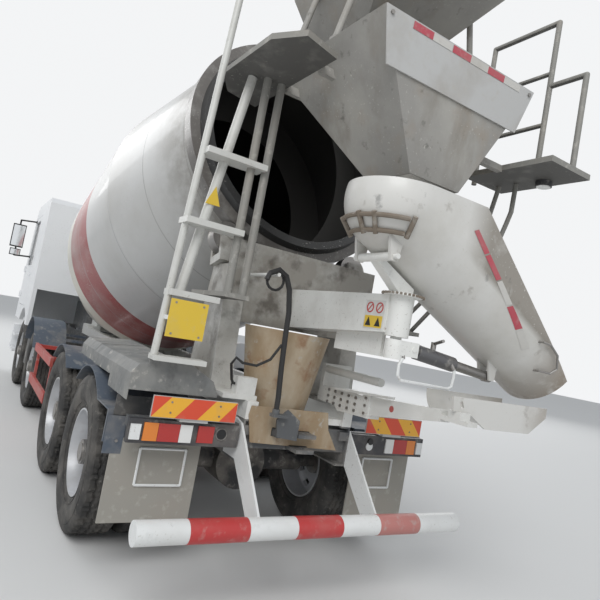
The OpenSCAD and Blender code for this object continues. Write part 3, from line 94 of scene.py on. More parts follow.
def node_in(tree, kind, **values):
    node = tree.nodes.new(kind)
    for name, value in values.items():
        if hasattr(node, name):
            setattr(node, name, value)
        else:
            node.inputs[name].default_value = value
    return node


class Look:
    """A material that is put together step by step."""

    def __init__(self, name, color, rough=0.5, metal=0.0, coat=0.0, alpha=1.0):
        self.material = bpy.data.materials.new(name)
        self.material.use_nodes = True
        self.tree = self.material.node_tree
        self.shader = self.tree.nodes["Principled BSDF"]
        self.shader.inputs["Base Color"].default_value = (*color, 1)
        self.shader.inputs["Roughness"].default_value = rough
        self.shader.inputs["Metallic"].default_value = metal
        self.shader.inputs["Coat Weight"].default_value = coat
        self.shader.inputs["Alpha"].default_value = alpha
        self.place = node_in(self.tree, "ShaderNodeTexCoord")
        self.color = None
        self.base = color

    def link(self, a, b):
        self.tree.links.new(a, b)

    def math(self, kind, a, b=0.0):
        node = node_in(self.tree, "ShaderNodeMath", operation=kind)
        for socket, value in ((node.inputs[0], a), (node.inputs[1], b)):
            if isinstance(value, (int, float)):
                socket.default_value = value
            else:
                self.link(value, socket)
        return node.outputs[0]

    def axis(self, which):
        split = node_in(self.tree, "ShaderNodeSeparateXYZ")
        self.link(self.place.outputs["Object"], split.inputs[0])
        return split.outputs[which]

    def along(self, direction, start):
        dot = node_in(self.tree, "ShaderNodeVectorMath", operation="DOT_PRODUCT")
        self.link(self.place.outputs["Object"], dot.inputs[0])
        dot.inputs[1].default_value = direction
        return self.math("SUBTRACT", dot.outputs["Value"], Vector(direction).dot(Vector(start)))

    def facing(self, which):
        split = node_in(self.tree, "ShaderNodeSeparateXYZ")
        self.link(self.place.outputs["Normal"], split.inputs[0])
        return split.outputs[which]

    def inward(self, way, start, s):
        """One where the skin faces an axis, else nought."""
        def vector(kind, a, b):
            node = node_in(self.tree, "ShaderNodeVectorMath", operation=kind)
            for socket, value in zip(node.inputs, (a, b)):
                if isinstance(value, tuple):
                    socket.default_value = value
                else:
                    self.link(value, socket)
            return node
        reach = vector("SUBTRACT", self.place.outputs["Object"], start)
        scaled = node_in(self.tree, "ShaderNodeVectorMath", operation="SCALE")
        scaled.inputs[0].default_value = way
        self.link(s, scaled.inputs["Scale"])
        outward = vector("SUBTRACT", reach.outputs[0], scaled.outputs[0])
        facing = vector("DOT_PRODUCT", outward.outputs[0], self.place.outputs["Normal"])
        return self.math("LESS_THAN", facing.outputs["Value"], -0.05)

    def noise(self, scale, detail=6.0, rough=0.6, stretch=None):
        node = node_in(self.tree, "ShaderNodeTexNoise")
        node.inputs["Scale"].default_value = scale
        node.inputs["Detail"].default_value = detail
        node.inputs["Roughness"].default_value = rough
        if stretch:
            mapping = node_in(self.tree, "ShaderNodeMapping")
            mapping.inputs["Scale"].default_value = stretch
            self.link(self.place.outputs["Object"], mapping.inputs[0])
            self.link(mapping.outputs[0], node.inputs["Vector"])
        else:
            self.link(self.place.outputs["Object"], node.inputs["Vector"])
        return node.outputs[0]

    def ramp(self, value, low, high):
        node = node_in(self.tree, "ShaderNodeMapRange")
        node.inputs["From Min"].default_value = low
        node.inputs["From Max"].default_value = high
        self.link(value, node.inputs["Value"])
        return node.outputs[0]

    def times(self, a, b):
        return self.math("MULTIPLY", a, b)

    def tint(self, color, amount):
        """Lays a color over what is there, by an amount from 0 to 1."""
        mix = node_in(self.tree, "ShaderNodeMix", data_type="RGBA")
        self.link(amount, mix.inputs["Factor"])
        if self.color is None:
            mix.inputs[6].default_value = (*self.base, 1)
        else:
            self.link(self.color, mix.inputs[6])
        mix.inputs[7].default_value = (*color, 1)
        self.color = mix.outputs[2]
        return self

    def dust(self, color, low=0.5, high=0.75, scale=3.0, most=1.0, stretch=None):
        return self.tint(color, self.times(self.ramp(self.noise(scale, stretch=stretch), low, high), most))

    def spots(self, color, scale=25.0, low=0.62, high=0.66, patch=1.6):
        """Splashes that gather in patches."""
        fine = self.ramp(self.noise(scale, detail=3.0, rough=0.7), low, high)
        coarse = self.ramp(self.noise(patch, detail=2.0), 0.42, 0.6)
        return self.tint(color, self.times(fine, coarse))

    def bump(self, scale, strength=0.2, distance=0.004):
        node = node_in(self.tree, "ShaderNodeBump")
        node.inputs["Strength"].default_value = strength
        node.inputs["Distance"].default_value = distance
        self.link(self.noise(scale, detail=4.0), node.inputs["Height"])
        self.link(node.outputs[0], self.shader.inputs["Normal"])
        return self

    def done(self):
        if self.color is not None:
            self.link(self.color, self.shader.inputs["Base Color"])
        return self.material


CONCRETE = (0.46, 0.44, 0.40)
MUD = (0.34, 0.31, 0.27)
RUST = (0.27, 0.15, 0.08)
SOOT = (0.09, 0.09, 0.09)


def white_paint(name, color=(0.80, 0.80, 0.77), dirt=0.7):
    look = Look(name, color, 0.42)
    look.dust(MUD, 0.50, 0.78, 2.6, 0.6 * dirt)
    look.dust(SOOT, 0.60, 0.74, 9.0, 0.45 * dirt)
    look.spots(CONCRETE, 60.0, 0.63, 0.67)
    look.dust(RUST, 0.69, 0.74, 14.0, 0.8 * dirt)
    return look.done()


def support_paint():
    """White paint that is brown with dirt on the columns and the plate behind the beam."""
    look = Look("support_paint", (0.74, 0.74, 0.71), 0.42)
    look.dust(MUD, 0.50, 0.78, 2.6, 0.45)
    look.spots(CONCRETE, 60.0, 0.63, 0.67)
    ahead = look.ramp(look.axis(0), REAR_AXLE_X - 0.66, REAR_AXLE_X - 0.57)
    look.tint((0.34, 0.32, 0.285), look.times(ahead, look.ramp(look.noise(3.0), 0.20, 0.55)))
    look.tint((0.16, 0.145, 0.125), look.times(ahead, look.ramp(look.noise(7.0), 0.50, 0.70)))
    look.dust(RUST, 0.69, 0.74, 14.0, 0.6)
    return look.done()


def deck_paint():
    """Grey paint, with painted shade darkening the faces that look down."""
    look = Look("deck_paint", (0.27, 0.265, 0.245), 0.7, 0.2)
    look.dust(MUD, 0.46, 0.72, 3.0, 0.7)
    look.dust(CONCRETE, 0.56, 0.70, 16.0, 0.6)
    # Painted shade: faces that look down are darkened in patches
    under = look.math("LESS_THAN", look.facing(2), -0.5)
    look.tint((0.125, 0.122, 0.115), look.times(under, look.ramp(look.noise(6.0), 0.15, 0.50)))
    look.spots((0.42, 0.41, 0.38), 50.0, 0.64, 0.68)
    return look.done()


def plain(name, color, rough=0.5, metal=0.0, coat=0.0):
    return Look(name, color, rough, metal, coat).done()


def grimy(name, color, rough=0.6, metal=0.0, mud=0.6, fine=0.5):
    look = Look(name, color, rough, metal)
    look.dust(MUD, 0.46, 0.72, 3.0, mud)
    look.dust(CONCRETE, 0.56, 0.70, 16.0, fine)
    return look.done()


drum_way = (-math.cos(DRUM_TILT), 0.0, math.sin(DRUM_TILT))
drum_zero = tuple(here(0, 0, DRUM_Z))

# Places along the drum's axis, growing towards its mouth
DRUM_BAND_FRONT, DRUM_BAND_BACK = -2.857, -2.093
DRUM_SEAMS = (-2.45, -1.26, -0.62, -0.02)
SEAM_HALF_W = 0.006
# Past DRUM_MOUTH the drum's inside is painted near-black as shade
DRUM_LIP, DRUM_MOUTH = 0.06, 0.173


def drum_paint():
    """Grey with a red band, a cream front, welded seams, a dirty rear cone, and painted shade inside:
    near-black past the mouth and on faces that look in.
    """
    look = Look("drum_paint", (0.56, 0.56, 0.55), 0.40, 0.0, 0.15)
    s = look.along(drum_way, drum_zero)
    look.tint((0.30, 0.035, 0.032), look.math("LESS_THAN", s, DRUM_BAND_BACK))
    look.tint((0.66, 0.64, 0.56), look.math("LESS_THAN", s, DRUM_BAND_FRONT))
    for seam in DRUM_SEAMS:
        near = look.math("ABSOLUTE", look.math("SUBTRACT", s, seam))
        look.tint((0.30, 0.30, 0.29), look.times(look.math("LESS_THAN", near, SEAM_HALF_W), 0.7))
    look.dust((0.43, 0.42, 0.39), 0.45, 0.75, 1.4, 0.6)
    look.spots((0.68, 0.67, 0.64), 55.0, 0.66, 0.70, 1.1)
    worn = look.ramp(s, -0.55, 0.02)
    look.tint((0.24, 0.225, 0.20), look.times(worn, look.ramp(look.noise(5.0), 0.25, 0.6)))
    lip = look.math("GREATER_THAN", s, DRUM_LIP)
    look.tint((0.13, 0.12, 0.11), look.times(lip, look.ramp(look.noise(7.0), 0.1, 0.5)))
    # Painted shade: past the mouth the drum is near-black
    look.tint((0.035, 0.035, 0.035), look.math("GREATER_THAN", s, DRUM_MOUTH))
    look.spots((0.48, 0.46, 0.43), 60.0, 0.63, 0.67, 2.2)
    # Painted shade: faces that look in towards the axis are near-black
    look.tint((0.055, 0.053, 0.050), look.inward(drum_way, drum_zero, s))
    return look.done()


def striped(name, a, b, pitch, lean, offset):
    """Slanted stripes of two colors across the truck, leaning with z and mirrored on the right side."""
    look = Look(name, a, 0.35, 0.0, 0.3)
    run = look.math("ADD", look.math("ABSOLUTE", look.axis(1)), look.times(look.axis(2), lean))
    turn = look.math("FRACT", look.times(look.math("ADD", run, 50.0 + offset), 1.0 / pitch))
    look.tint(b, look.math("GREATER_THAN", turn, 0.5))
    look.dust(MUD, 0.52, 0.8, 6.0, 0.45)
    return look.done()


def hopper_paint():
    look = Look("hopper_paint", (0.30, 0.29, 0.27), 0.62)
    look.dust((0.42, 0.405, 0.37), 0.40, 0.70, 1.8, 0.9)
    look.dust((0.24, 0.22, 0.19), 0.52, 0.70, 4.0, 0.8, (1, 1, 0.35))
    look.dust((0.15, 0.145, 0.13), 0.62, 0.72, 11.0, 0.8)
    look.dust((0.30, 0.235, 0.17), 0.55, 0.72, 2.4, 0.6)
    look.spots((0.52, 0.50, 0.46), 55.0, 0.64, 0.68, 2.0)
    return look.bump(30, 0.25).done()


def chute_paint():
    """Dull white, with mud at the outlet and a brown-grey band of painted shade and dirt along the rim."""
    look = Look("chute_paint", (0.66, 0.65, 0.62), 0.40, 0.0, 0.1)
    look.dust((0.50, 0.48, 0.43), 0.46, 0.74, 2.2, 0.7)
    run = look.ramp(look.axis(1), -0.85, -1.25)
    look.tint((0.24, 0.19, 0.14), look.times(run, look.ramp(look.noise(8.0), 0.22, 0.50)))
    down = (0, math.sin(CHUTE_SLOPE), -math.cos(CHUTE_SLOPE))
    under = look.along(down, here(POST_X, CHUTE_BACK, CHUTE_AXIS_Z))
    # Painted shade and dirt: a brown-grey band along the chute's rim
    rim = look.times(look.ramp(under, 0.075, 0.035), look.ramp(look.axis(1), -0.12, -0.32))
    look.tint((0.29, 0.265, 0.23), look.times(rim, look.ramp(look.noise(6.0), 0.10, 0.45)))
    look.spots((0.56, 0.54, 0.49), 55.0, 0.64, 0.68, 1.5)
    look.dust((0.20, 0.17, 0.13), 0.62, 0.72, 7.0, 0.5)
    look.dust(SOOT, 0.66, 0.74, 8.0, 0.5)
    return look.done()


def apron_paint():
    look = Look("apron_paint", (0.34, 0.25, 0.155), 0.75)
    look.dust((0.50, 0.43, 0.33), 0.44, 0.66, 3.0, 0.85, (1, 1, 0.5))
    look.dust(RUST, 0.55, 0.68, 6.0, 0.8)
    look.dust(CONCRETE, 0.60, 0.70, 14.0, 0.8)
    return look.bump(40, 0.3).done()


def cover_paint():
    look = Look("cover_paint", (0.17, 0.175, 0.175), 0.7)
    look.dust((0.30, 0.295, 0.275), 0.42, 0.66, 2.6, 0.9)
    look.dust((0.10, 0.10, 0.10), 0.55, 0.70, 6.0, 0.8)
    look.dust(CONCRETE, 0.60, 0.70, 14.0, 0.8)
    return look.bump(9, 0.5, 0.02).done()


def tyre_rubber():
    look = Look("tyre_rubber", (0.035, 0.034, 0.033), 0.82)
    look.dust((0.20, 0.185, 0.165), 0.42, 0.72, 5.0, 0.55)
    look.dust((0.30, 0.28, 0.25), 0.60, 0.72, 22.0, 0.4)
    return look.done()


def glass(name="cab_glass"):
    look = Look(name, (0.05, 0.07, 0.08), 0.04, 0.0, 0.5, 0.55)
    look.material.surface_render_method = "BLENDED"
    return look.done()


M = {
    "frame": grimy("frame_grey", (0.10, 0.105, 0.11), 0.6, 0.0, 0.7, 0.5),
    "white": white_paint("support_white"),
    "support": support_paint(),
    "clean_white": white_paint("step_white", (0.78, 0.79, 0.78), 0.35),
    "cab": white_paint("cab_white", (0.80, 0.81, 0.82), 0.12),
    "machine": grimy("machine_grey", (0.16, 0.17, 0.18), 0.5, 0.2),
    "axle": grimy("axle_dark", (0.05, 0.05, 0.052), 0.7, 0.0, 0.8, 0.5),
    "guard": grimy("guard_plastic", (0.085, 0.105, 0.135), 0.62, 0.0, 0.55, 0.35),
    "flap": grimy("flap_rubber", (0.33, 0.315, 0.28), 0.85, 0.0, 0.7, 0.7),
    "red": grimy("guard_red", (0.42, 0.05, 0.04), 0.5, 0.0, 0.4, 0.4),
    "tank": grimy("tank_metal", (0.45, 0.46, 0.47), 0.35, 0.7, 0.5, 0.4),
    "dark": grimy("dark_plastic", (0.045, 0.047, 0.05), 0.6, 0.0, 0.35, 0.3),
    "hopper": hopper_paint(),
    "deck": deck_paint(),
    "chute": chute_paint(),
    "apron": apron_paint(),
    "ladder": white_paint("ladder_paint", (0.60, 0.60, 0.57), 0.8),
    "glass": glass(),
    "drum": drum_paint(),
    "steel": grimy("worn_steel", (0.30, 0.29, 0.28), 0.4, 0.8, 0.5, 0.5),
    "bright": plain("bright_steel", (0.62, 0.62, 0.63), 0.22, 1.0),
    "jack": grimy("jack_paint", (0.13, 0.13, 0.135), 0.45, 0.3, 0.7, 0.6),
    "rubber": tyre_rubber(),
    "rim": grimy("rim_silver", (0.62, 0.63, 0.65), 0.36, 0.45, 0.25, 0.25),
    "hose": plain("hose_black", (0.018, 0.018, 0.018), 0.45),
    "interior": plain("cab_interior", (0.055, 0.057, 0.06), 0.75),
    "lamp_red": plain("lamp_red", (0.45, 0.02, 0.015), 0.2, 0.0, 0.6),
    "lamp_orange": plain("lamp_orange", (0.75, 0.22, 0.02), 0.2, 0.0, 0.6),
    "lamp_white": plain("lamp_white", (0.78, 0.78, 0.76), 0.18, 0.0, 0.6),
    "lamp_body": grimy("lamp_body", (0.05, 0.05, 0.055), 0.55, 0.0, 0.5, 0.4),
    "black": plain("black_plastic", (0.012, 0.012, 0.013), 0.5),
    "board": grimy("board_grey", (0.50, 0.50, 0.49), 0.5, 0.0, 0.6, 0.5),
    "yellow": grimy("plate_yellow", (0.72, 0.50, 0.05), 0.45, 0.0, 0.25, 0.2),
    "tape_red": grimy("tape_red", (0.50, 0.045, 0.045), 0.4, 0.0, 0.25, 0.3),
    "tape_white": grimy("tape_white", (0.66, 0.66, 0.64), 0.4, 0.0, 0.25, 0.3),
    "chevron": striped("chevron", (0.85, 0.44, 0.03), (0.70, 0.07, 0.025), 0.284, 0.87, -0.111),
    "faded_red": grimy("faded_red", (0.47, 0.075, 0.10), 0.5, 0.0, 0.35, 0.3),
    "faded_white": grimy("faded_white", (0.58, 0.565, 0.53), 0.5, 0.0, 0.4, 0.4),
    "tape_pale": grimy("tape_faded", (0.50, 0.20, 0.18), 0.5, 0.0, 0.5, 0.5),
    "cover": cover_paint(),
    # The fins inside the drum are near-black as painted shade
    "fin": plain("fin_painted_shade", (0.045, 0.043, 0.040), 0.7),
    "cushion": plain("seat_cloth", (0.085, 0.088, 0.095), 0.95),
    "mirror": plain("mirror_glass", (0.75, 0.77, 0.79), 0.04, 1.0),
    "sticker": plain("sticker_yellow", (0.70, 0.48, 0.05), 0.5),
    "brown": grimy("rust_brown", (0.19, 0.155, 0.12), 0.8, 0.0, 0.7, 0.5),
    "spring": grimy("spring_dark", (0.06, 0.06, 0.062), 0.7, 0.1, 0.7, 0.5),
}

NODE_LOOKS = {
    "chassis_frame": "frame", "drum_subframe": "white", "rear_support": "support", "drive_units": "machine",
    "axles": "axle", "leaf_springs": "spring", "mudguards": "guard", "mudflaps": "flap", "side_guards": "red",
    "rear_bumper": "clean_white", "lamps": "lamp_body", "marker_boards": "board", "tanks": "tank",
    "chassis_boxes": "dark", "feed_hopper": "hopper", "discharge_hopper": "hopper", "platforms": "deck",
    "ladder": "ladder", "front_bumper": "cab", "spare_chute": "chute", "splash_apron": "apron",
    "cab_shell": "cab", "front_panel": "cab", "cab_interior": "interior", "windscreen": "glass",
    "door_left": "cab", "door_right": "cab", "door_glass_left": "glass", "door_glass_right": "glass",
    "mirror_left": "black", "mirror_right": "black", "drum": "drum", "roller_left": "steel",
    "roller_right": "steel", "chute_post": "white", "chute": "chute", "jack_barrel": "jack",
    "jack_rod": "steel", "hoses": "hose", "wheel_cover": "cover",
}
KIND_LOOKS = {"tyre": "rubber", "rim": "rim", "knuckle": "axle"}


def paint_nodes():
    for name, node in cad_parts.items():
        look = NODE_LOOKS.get(name) or next(v for k, v in KIND_LOOKS.items() if name.startswith(k))
        node.data.materials.clear()
        node.data.materials.append(M[look])
        node.data.shade_smooth()
        node.data.set_sharp_from_angle(angle=math.radians(28))


paint_nodes()


# Pieces

BOX_FACES = [(0, 2, 3, 1), (4, 5, 7, 6), (0, 1, 5, 4), (2, 6, 7, 3), (0, 4, 6, 2), (1, 3, 7, 5)]


class Piece:
    """One object put together from simple shapes, in the truck's own measures."""

    def __init__(self, name, body, slot=None):
        self.name, self.body, self.slot_name = name, body, slot
        self.points, self.faces, self.kinds, self.looks = [], [], [], []

    def add(self, points, faces, look):
        if look not in self.looks:
            self.looks.append(look)
        start = len(self.points)
        self.points += [Vector(p) for p in points]
        self.faces += [[start + i for i in face] for face in faces]
        self.kinds += [self.looks.index(look)] * len(faces)

    def box(self, low, high, look):
        corners = [(x, y, z) for z in (low[2], high[2]) for y in (low[1], high[1]) for x in (low[0], high[0])]
        self.add(corners, BOX_FACES, look)

    def side_box(self, side, low, high, look):
        """A box given for the left side, or its mirror image on the right."""
        right, left = sorted((side * low[1], side * high[1]))
        self.box((low[0], right, low[2]), (high[0], left, high[2]), look)

    def slab(self, corners, thick, look):
        """A flat plate from its corners in order, with its thickness behind it."""
        corners = [Vector(c) for c in corners]
        normal = (corners[1] - corners[0]).cross(corners[2] - corners[0]).normalized()
        back = [c - normal * thick for c in corners]
        n = len(corners)
        sides = [(i, i + n, (i + 1) % n + n, (i + 1) % n) for i in range(n)]
        self.add(corners + back, [tuple(range(n)), tuple(reversed(range(n, 2 * n))), *sides], look)

    def rod(self, a, b, radius, look, sides=16):
        self.tube([a, b], radius, look, sides)

    def tube(self, route, radius, look, sides=10, closed=False):
        route = [Vector(p) for p in route]
        count = len(route)
        points, faces = [], []
        side = None
        for i, p in enumerate(route):
            before = route[i - 1] if i or closed else p
            after = route[(i + 1) % count] if i < count - 1 or closed else p
            way = (after - before).normalized()
            if side is None:
                side = way.orthogonal().normalized()
            side = (side - way * side.dot(way)).normalized()
            up = way.cross(side)
            for k in range(sides):
                a = 2 * math.pi * k / sides
                points.append(p + side * (radius * math.cos(a)) + up * (radius * math.sin(a)))
        for i in range(count if closed else count - 1):
            j = (i + 1) % count
            for k in range(sides):
                l = (k + 1) % sides
                faces.append((i * sides + k, i * sides + l, j * sides + l, j * sides + k))
        if not closed:
            faces.append(tuple(reversed(range(sides))))
            faces.append(tuple(range((count - 1) * sides, count * sides)))
        self.add(points, faces, look)

    def ring(self, center, axis, radius, thick, look, steps=48, sides=8):
        axis = Vector(axis).normalized()
        u = axis.orthogonal().normalized()
        v = axis.cross(u)
        route = [Vector(center) + u * radius * math.cos(2 * math.pi * i / steps)
                 + v * radius * math.sin(2 * math.pi * i / steps) for i in range(steps)]
        self.tube(route, thick, look, sides, closed=True)

    def make(self):
        mesh = bpy.data.meshes.new(self.name)
        mesh.from_pydata([here(*p) for p in self.points], [], self.faces)
        for look in self.looks:
            mesh.materials.append(M[look])
        mesh.polygons.foreach_set("material_index", self.kinds)
        mesh.shade_smooth()
        mesh.set_sharp_from_angle(angle=math.radians(32))
        mesh.update()
        piece = bpy.data.objects.new(self.name, mesh)
        bpy.context.scene.collection.objects.link(piece)
        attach(piece, self.body)
        return piece


def on_drum(s, radius, angle):
    """A point by its place along the drum's axis, its radius and its angle from the top."""
    across = Vector((math.sin(DRUM_TILT), 0, math.cos(DRUM_TILT)))
    side = Vector((0, 1, 0))
    middle = Vector((0, 0, DRUM_Z)) + Vector(drum_way) * s
    return middle + (across * math.cos(angle) + side * math.sin(angle)) * radius


# Tyres with tread

TYRE_R = 0.538
TYRE_W = 0.290
BEAD_R = 0.303


def tyre_profile():
    """Rows of place across the tyre and radius, bead to bead."""
    side = [(-0.36, BEAD_R), (-0.405, BEAD_R + 0.012), (-0.42, BEAD_R + 0.045), (-0.475, 0.37),
            (-0.5, (TYRE_R + BEAD_R) / 2 + 0.005), (-0.493, 0.47), (-0.475, TYRE_R - 0.040),
            (-0.455, TYRE_R - 0.024), (-0.43, TYRE_R - 0.010)]
    tread = [(-0.40 + 0.8 * i / 24, TYRE_R) for i in range(25)]
    return side + tread + [(-a, r) for a, r in reversed(side)]


# Places across the tyre are shares of its width
GROOVES = (-0.235, -0.08, 0.08, 0.235)
GROOVE_HALF_W, GROOVE_ZIGZAG, TREAD_EDGE = 0.020, 0.018, 0.405
SIDEWALL_RINGS = ((0.345, 0.452), (0.475, 0.489))


def tread_depth(across, turn, steps, drive):
    """How deep the tread is cut at a place across the tyre and a step round it."""
    if abs(across) > TREAD_EDGE:
        return 0.0
    shift = GROOVE_ZIGZAG * (1 if (turn // 2) % 2 else -1)
    if any(abs(across + shift - g) < GROOVE_HALF_W for g in GROOVES):
        return 0.013
    if drive and turn % 6 == 0 and abs(across) > 0.10:
        return 0.012
    if abs(across) > 0.30 and turn % 4 == 0:
        return 0.008
    return 0.0


def make_tyre(name, node, body, x, y, drive, steps=180):
    profile = tyre_profile()
    n = len(profile)
    points, faces = [], []
    for t in range(steps):
        a = 2 * math.pi * t / steps
        for across, radius in profile:
            r = radius - (tread_depth(across, t, steps, drive) if radius >= TYRE_R else 0.0)
            points.append((x + r * math.cos(a), y + across * TYRE_W, WHEEL_Z + r * math.sin(a)))
    for t in range(steps):
        u = (t + 1) % steps
        for k in range(n):
            l = (k + 1) % n
            faces.append((t * n + k, t * n + l, u * n + l, u * n + k))
    piece = Piece(name, body, "tyre_black")
    piece.add(points, faces, "rubber")
    for side in (-1, 1):
        for radius, share in SIDEWALL_RINGS:
            middle = (x, y + side * TYRE_W * share, WHEEL_Z)
            piece.ring(middle, (0, 1, 0), radius, 0.003, "rubber", 72, 5)
    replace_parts(piece.make(), node)


def make_tyres():
    for axle, x in AXLES.items():
        for side, letter in SIDES:
            name = f"{axle}{letter}"
            if axle in STEERED_AXLES:
                make_tyre(f"tread_{name}", f"tyre_{name}", f"wheel_{name}", x, side * STEERED_Y, False)
                continue
            for y, place in ((TWIN_OUTER_Y, "outer"), (TWIN_INNER_Y, "inner")):
                make_tyre(f"tread_{name}_{place}", f"tyres_{name}", f"wheels_{name}", x, side * y, True)


make_tyres()


NUTS, NUT_CIRCLE_R, NUT_R = 10, 0.1675, 0.0165
STEERED_NUT_FACE, DRIVEN_NUT_FACE = 1.113, 1.029


def wheel_nuts():
    for axle, x in AXLES.items():
        for side, letter in SIDES:
            steered = axle in STEERED_AXLES
            body = f"wheel_{axle}{letter}" if steered else f"wheels_{axle}{letter}"
            face = STEERED_NUT_FACE if steered else DRIVEN_NUT_FACE
            piece = Piece(f"nuts_{axle}{letter}", body, "rim_silver")
            for i in range(NUTS):
                a = 2 * math.pi * i / NUTS
                nx, nz = x + NUT_CIRCLE_R * math.cos(a), WHEEL_Z + NUT_CIRCLE_R * math.sin(a)
                piece.rod((nx, side * (face - 0.004), nz), (nx, side * (face + 0.028), nz), NUT_R, "steel", 6)
            piece.make()


wheel_nuts()


# Lamps, boards and bands at the rear

# Rear face of the lamp beam, and the lenses as rows of outer end, inner end and look
LAMP_X, LAMP_LOW, LAMP_HIGH = -0.909, 0.862, 0.968
LAMP_FIELDS = [(1.073, 0.988, "lamp_orange"), (0.986, 0.855, "lamp_red"), (0.853, 0.775, "lamp_white")]


def rear_lamps():
    piece = Piece("rear_lamp_fields", "chassis", "lamp_plastic")
    inside = LAMP_X + 0.002
    for side in (-1, 1):
        for outer, inner, look in LAMP_FIELDS:
            piece.side_box(side, (LAMP_X - 0.010, outer, LAMP_LOW), (inside, inner, LAMP_HIGH), look)
        piece.side_box(side, (LAMP_X - 0.012, 1.150, 0.866), (inside, 1.090, 0.955), "clean_white")
    piece.box((LAMP_X - 0.010, 0.632, 0.866), (inside, 0.737, LAMP_HIGH), "lamp_red")
    piece.rod((LAMP_X - 0.008, 0.580, 0.925), (inside, 0.580, 0.925), 0.036, "black", 24)
    piece.ring((LAMP_X - 0.006, 0.580, 0.925), (1, 0, 0), 0.036, 0.005, "lamp_body", 24, 6)
    # The right reflector is missing, as in the photo: its hole and the white socket show
    piece.rod((LAMP_X - 0.008, -0.622, 0.905), (inside, -0.622, 0.905), 0.030, "clean_white", 24)
    # Painted shade: a black disc stands in for the dark of the empty hole
    piece.rod((LAMP_X - 0.010, -0.626, 0.940), (inside, -0.626, 0.940), 0.024, "black", 24)
    piece.make()


CHEVRON_X = -0.9605


def chevrons():
    piece = Piece("chevron_faces", "chassis", "board_sheet")
    for side in (-1, 1):
        piece.side_box(side, (CHEVRON_X, 0.528, 1.012), (CHEVRON_X + 0.0027, 1.061, 1.132), "chevron")
        for y in (0.64, 0.95):
            for z in (1.042, 1.104):
                a, b = (CHEVRON_X - 0.0025, side * y, z), (CHEVRON_X + 0.0005, side * y, z)
                piece.rod(a, b, 0.0065, "brown", 8)
    piece.make()


# The bumper's tube, and the bands round it as rows of left end, right end and look
BUMPER_X, BUMPER_Z, BUMPER_R = -1.324, 0.498, 0.064
BUMPER_BANDS = [(0.872, 0.519, "tape_red"), (0.201, -0.128, "tape_red"), (-0.427, -0.774, "tape_pale")]


def bumper_bands():
    piece = Piece("bumper_bands", "chassis", "lamp_plastic")
    for left, right, look in BUMPER_BANDS:
        piece.rod((BUMPER_X, left, BUMPER_Z), (BUMPER_X, right, BUMPER_Z), BUMPER_R + 0.0015, look, 48)
    piece.make()


FLAP_FACE_X = -0.7473
FLAP_FRAME = [(0.722, 0.775), (1.015, 0.775), (1.015, 0.552), (0.722, 0.552)]
FLAP_BOLTS = (0.64, 0.78, 0.92, 1.06, 1.17)
FLAP_BOLT_Z = 0.812


def flap_frames():
    """Painted frame on each mudflap and the bolts of its upper edge."""
    piece = Piece("flap_frames", "chassis", "support_white")
    for side in (-1, 1):
        corners = [(FLAP_FACE_X - 0.005, side * y, z) for y, z in FLAP_FRAME]
        for a, b in zip(corners, corners[1:] + corners[:1]):
            piece.rod(a, b, 0.0085, "clean_white", 6)
        for y in FLAP_BOLTS:
            a, b = (FLAP_FACE_X - 0.008, side * y, FLAP_BOLT_Z), (FLAP_FACE_X, side * y, FLAP_BOLT_Z)
            piece.rod(a, b, 0.010, "steel", 6)
    piece.make()


PLATE_X = -1.0125


def rear_plates():
    """The dark panel beside the chevron, and the blank yellow plate on the ladder with its arms."""
    piece = Piece("rear_plates", "chassis", "board_sheet")
    piece.box((-0.748, 1.000, 0.965), (-0.742, 1.215, 1.085), "dark")
    piece.box((-0.748, 1.130, 0.735), (-0.742, 1.240, 0.960), "guard")
    piece.make()
    plate = Piece("ladder_plate", "chassis", "board_sheet")
    plate.box((PLATE_X - 0.003, 0.862, 1.480), (PLATE_X, 1.092, 1.700), "yellow")
    for z in (1.50, 1.68):
        for y in (0.89, 1.06):
            plate.rod((PLATE_X - 0.0055, y, z), (PLATE_X, y, z), 0.007, "steel", 8)
    for y in (0.86, 1.07):
        plate.box((PLATE_X, y, 1.575), (-0.925, y + 0.025, 1.600), "clean_white")
    plate.make()


def warning_labels():
    """Plain triangle on the ladder, and plain round and triangular signs on the swivel beam."""
    piece = Piece("warning_labels", "chassis", "board_sheet")
    piece.slab([(-0.925, 0.925, 2.415), (-0.925, 0.975, 2.300), (-0.925, 0.880, 2.300)], 0.002, "sticker")
    face = 0.0765
    low, high, back, front = 1.732, 1.900, -1.655, -1.480
    mid = (low + high) / 2
    piece.box((back, face - 0.001, low), (front, face, high), "tape_white")
    piece.box((back + 0.008, face, low + 0.008), (front - 0.008, face + 0.0006, mid - 0.006), "sticker")
    proud, flat = face + 0.001, face + 0.0012
    for x in (back + 0.045, front - 0.045):
        piece.ring((x, proud, mid + 0.042), (0, 1, 0), 0.028, 0.004, "tape_red", 28, 6)
        piece.rod((x - 0.018, proud, mid + 0.060), (x + 0.018, proud, mid + 0.024), 0.003, "tape_red", 6)
        corners = [(x - 0.026, flat, low + 0.018), (x + 0.026, flat, low + 0.018), (x, flat, mid - 0.014)]
        piece.slab(corners, 0.0005, "black")
    piece.make()


def on_chute(y, z, lift=0.002):
    """The place on the chute's rear side at a distance across and a height."""
    drop = ((CHUTE_AXIS_Z - (CHUTE_BACK - y) * math.tan(CHUTE_SLOPE)) - z) * math.cos(CHUTE_SLOPE)
    drop = max(0.0, min(drop, CHUTE_R * 0.98))
    return (POST_X - math.sqrt(CHUTE_R ** 2 - drop ** 2) - lift, y, z)


# Rows of the tape's lower and upper edge across and up, with the look of the piece that follows
CHUTE_TAPE = [(-0.165, 2.351, -0.199, 2.367, "faded_red"), (-0.282, 2.238, -0.320, 2.256, "faded_red"),
              (-0.412, 2.118, -0.451, 2.135, "faded_white"), (-0.541, 1.998, -0.583, 2.013, "faded_red"),
              (-0.680, 1.876, -0.723, 1.894, "faded_white"), (-0.800, 1.770, -0.842, 1.788, None)]


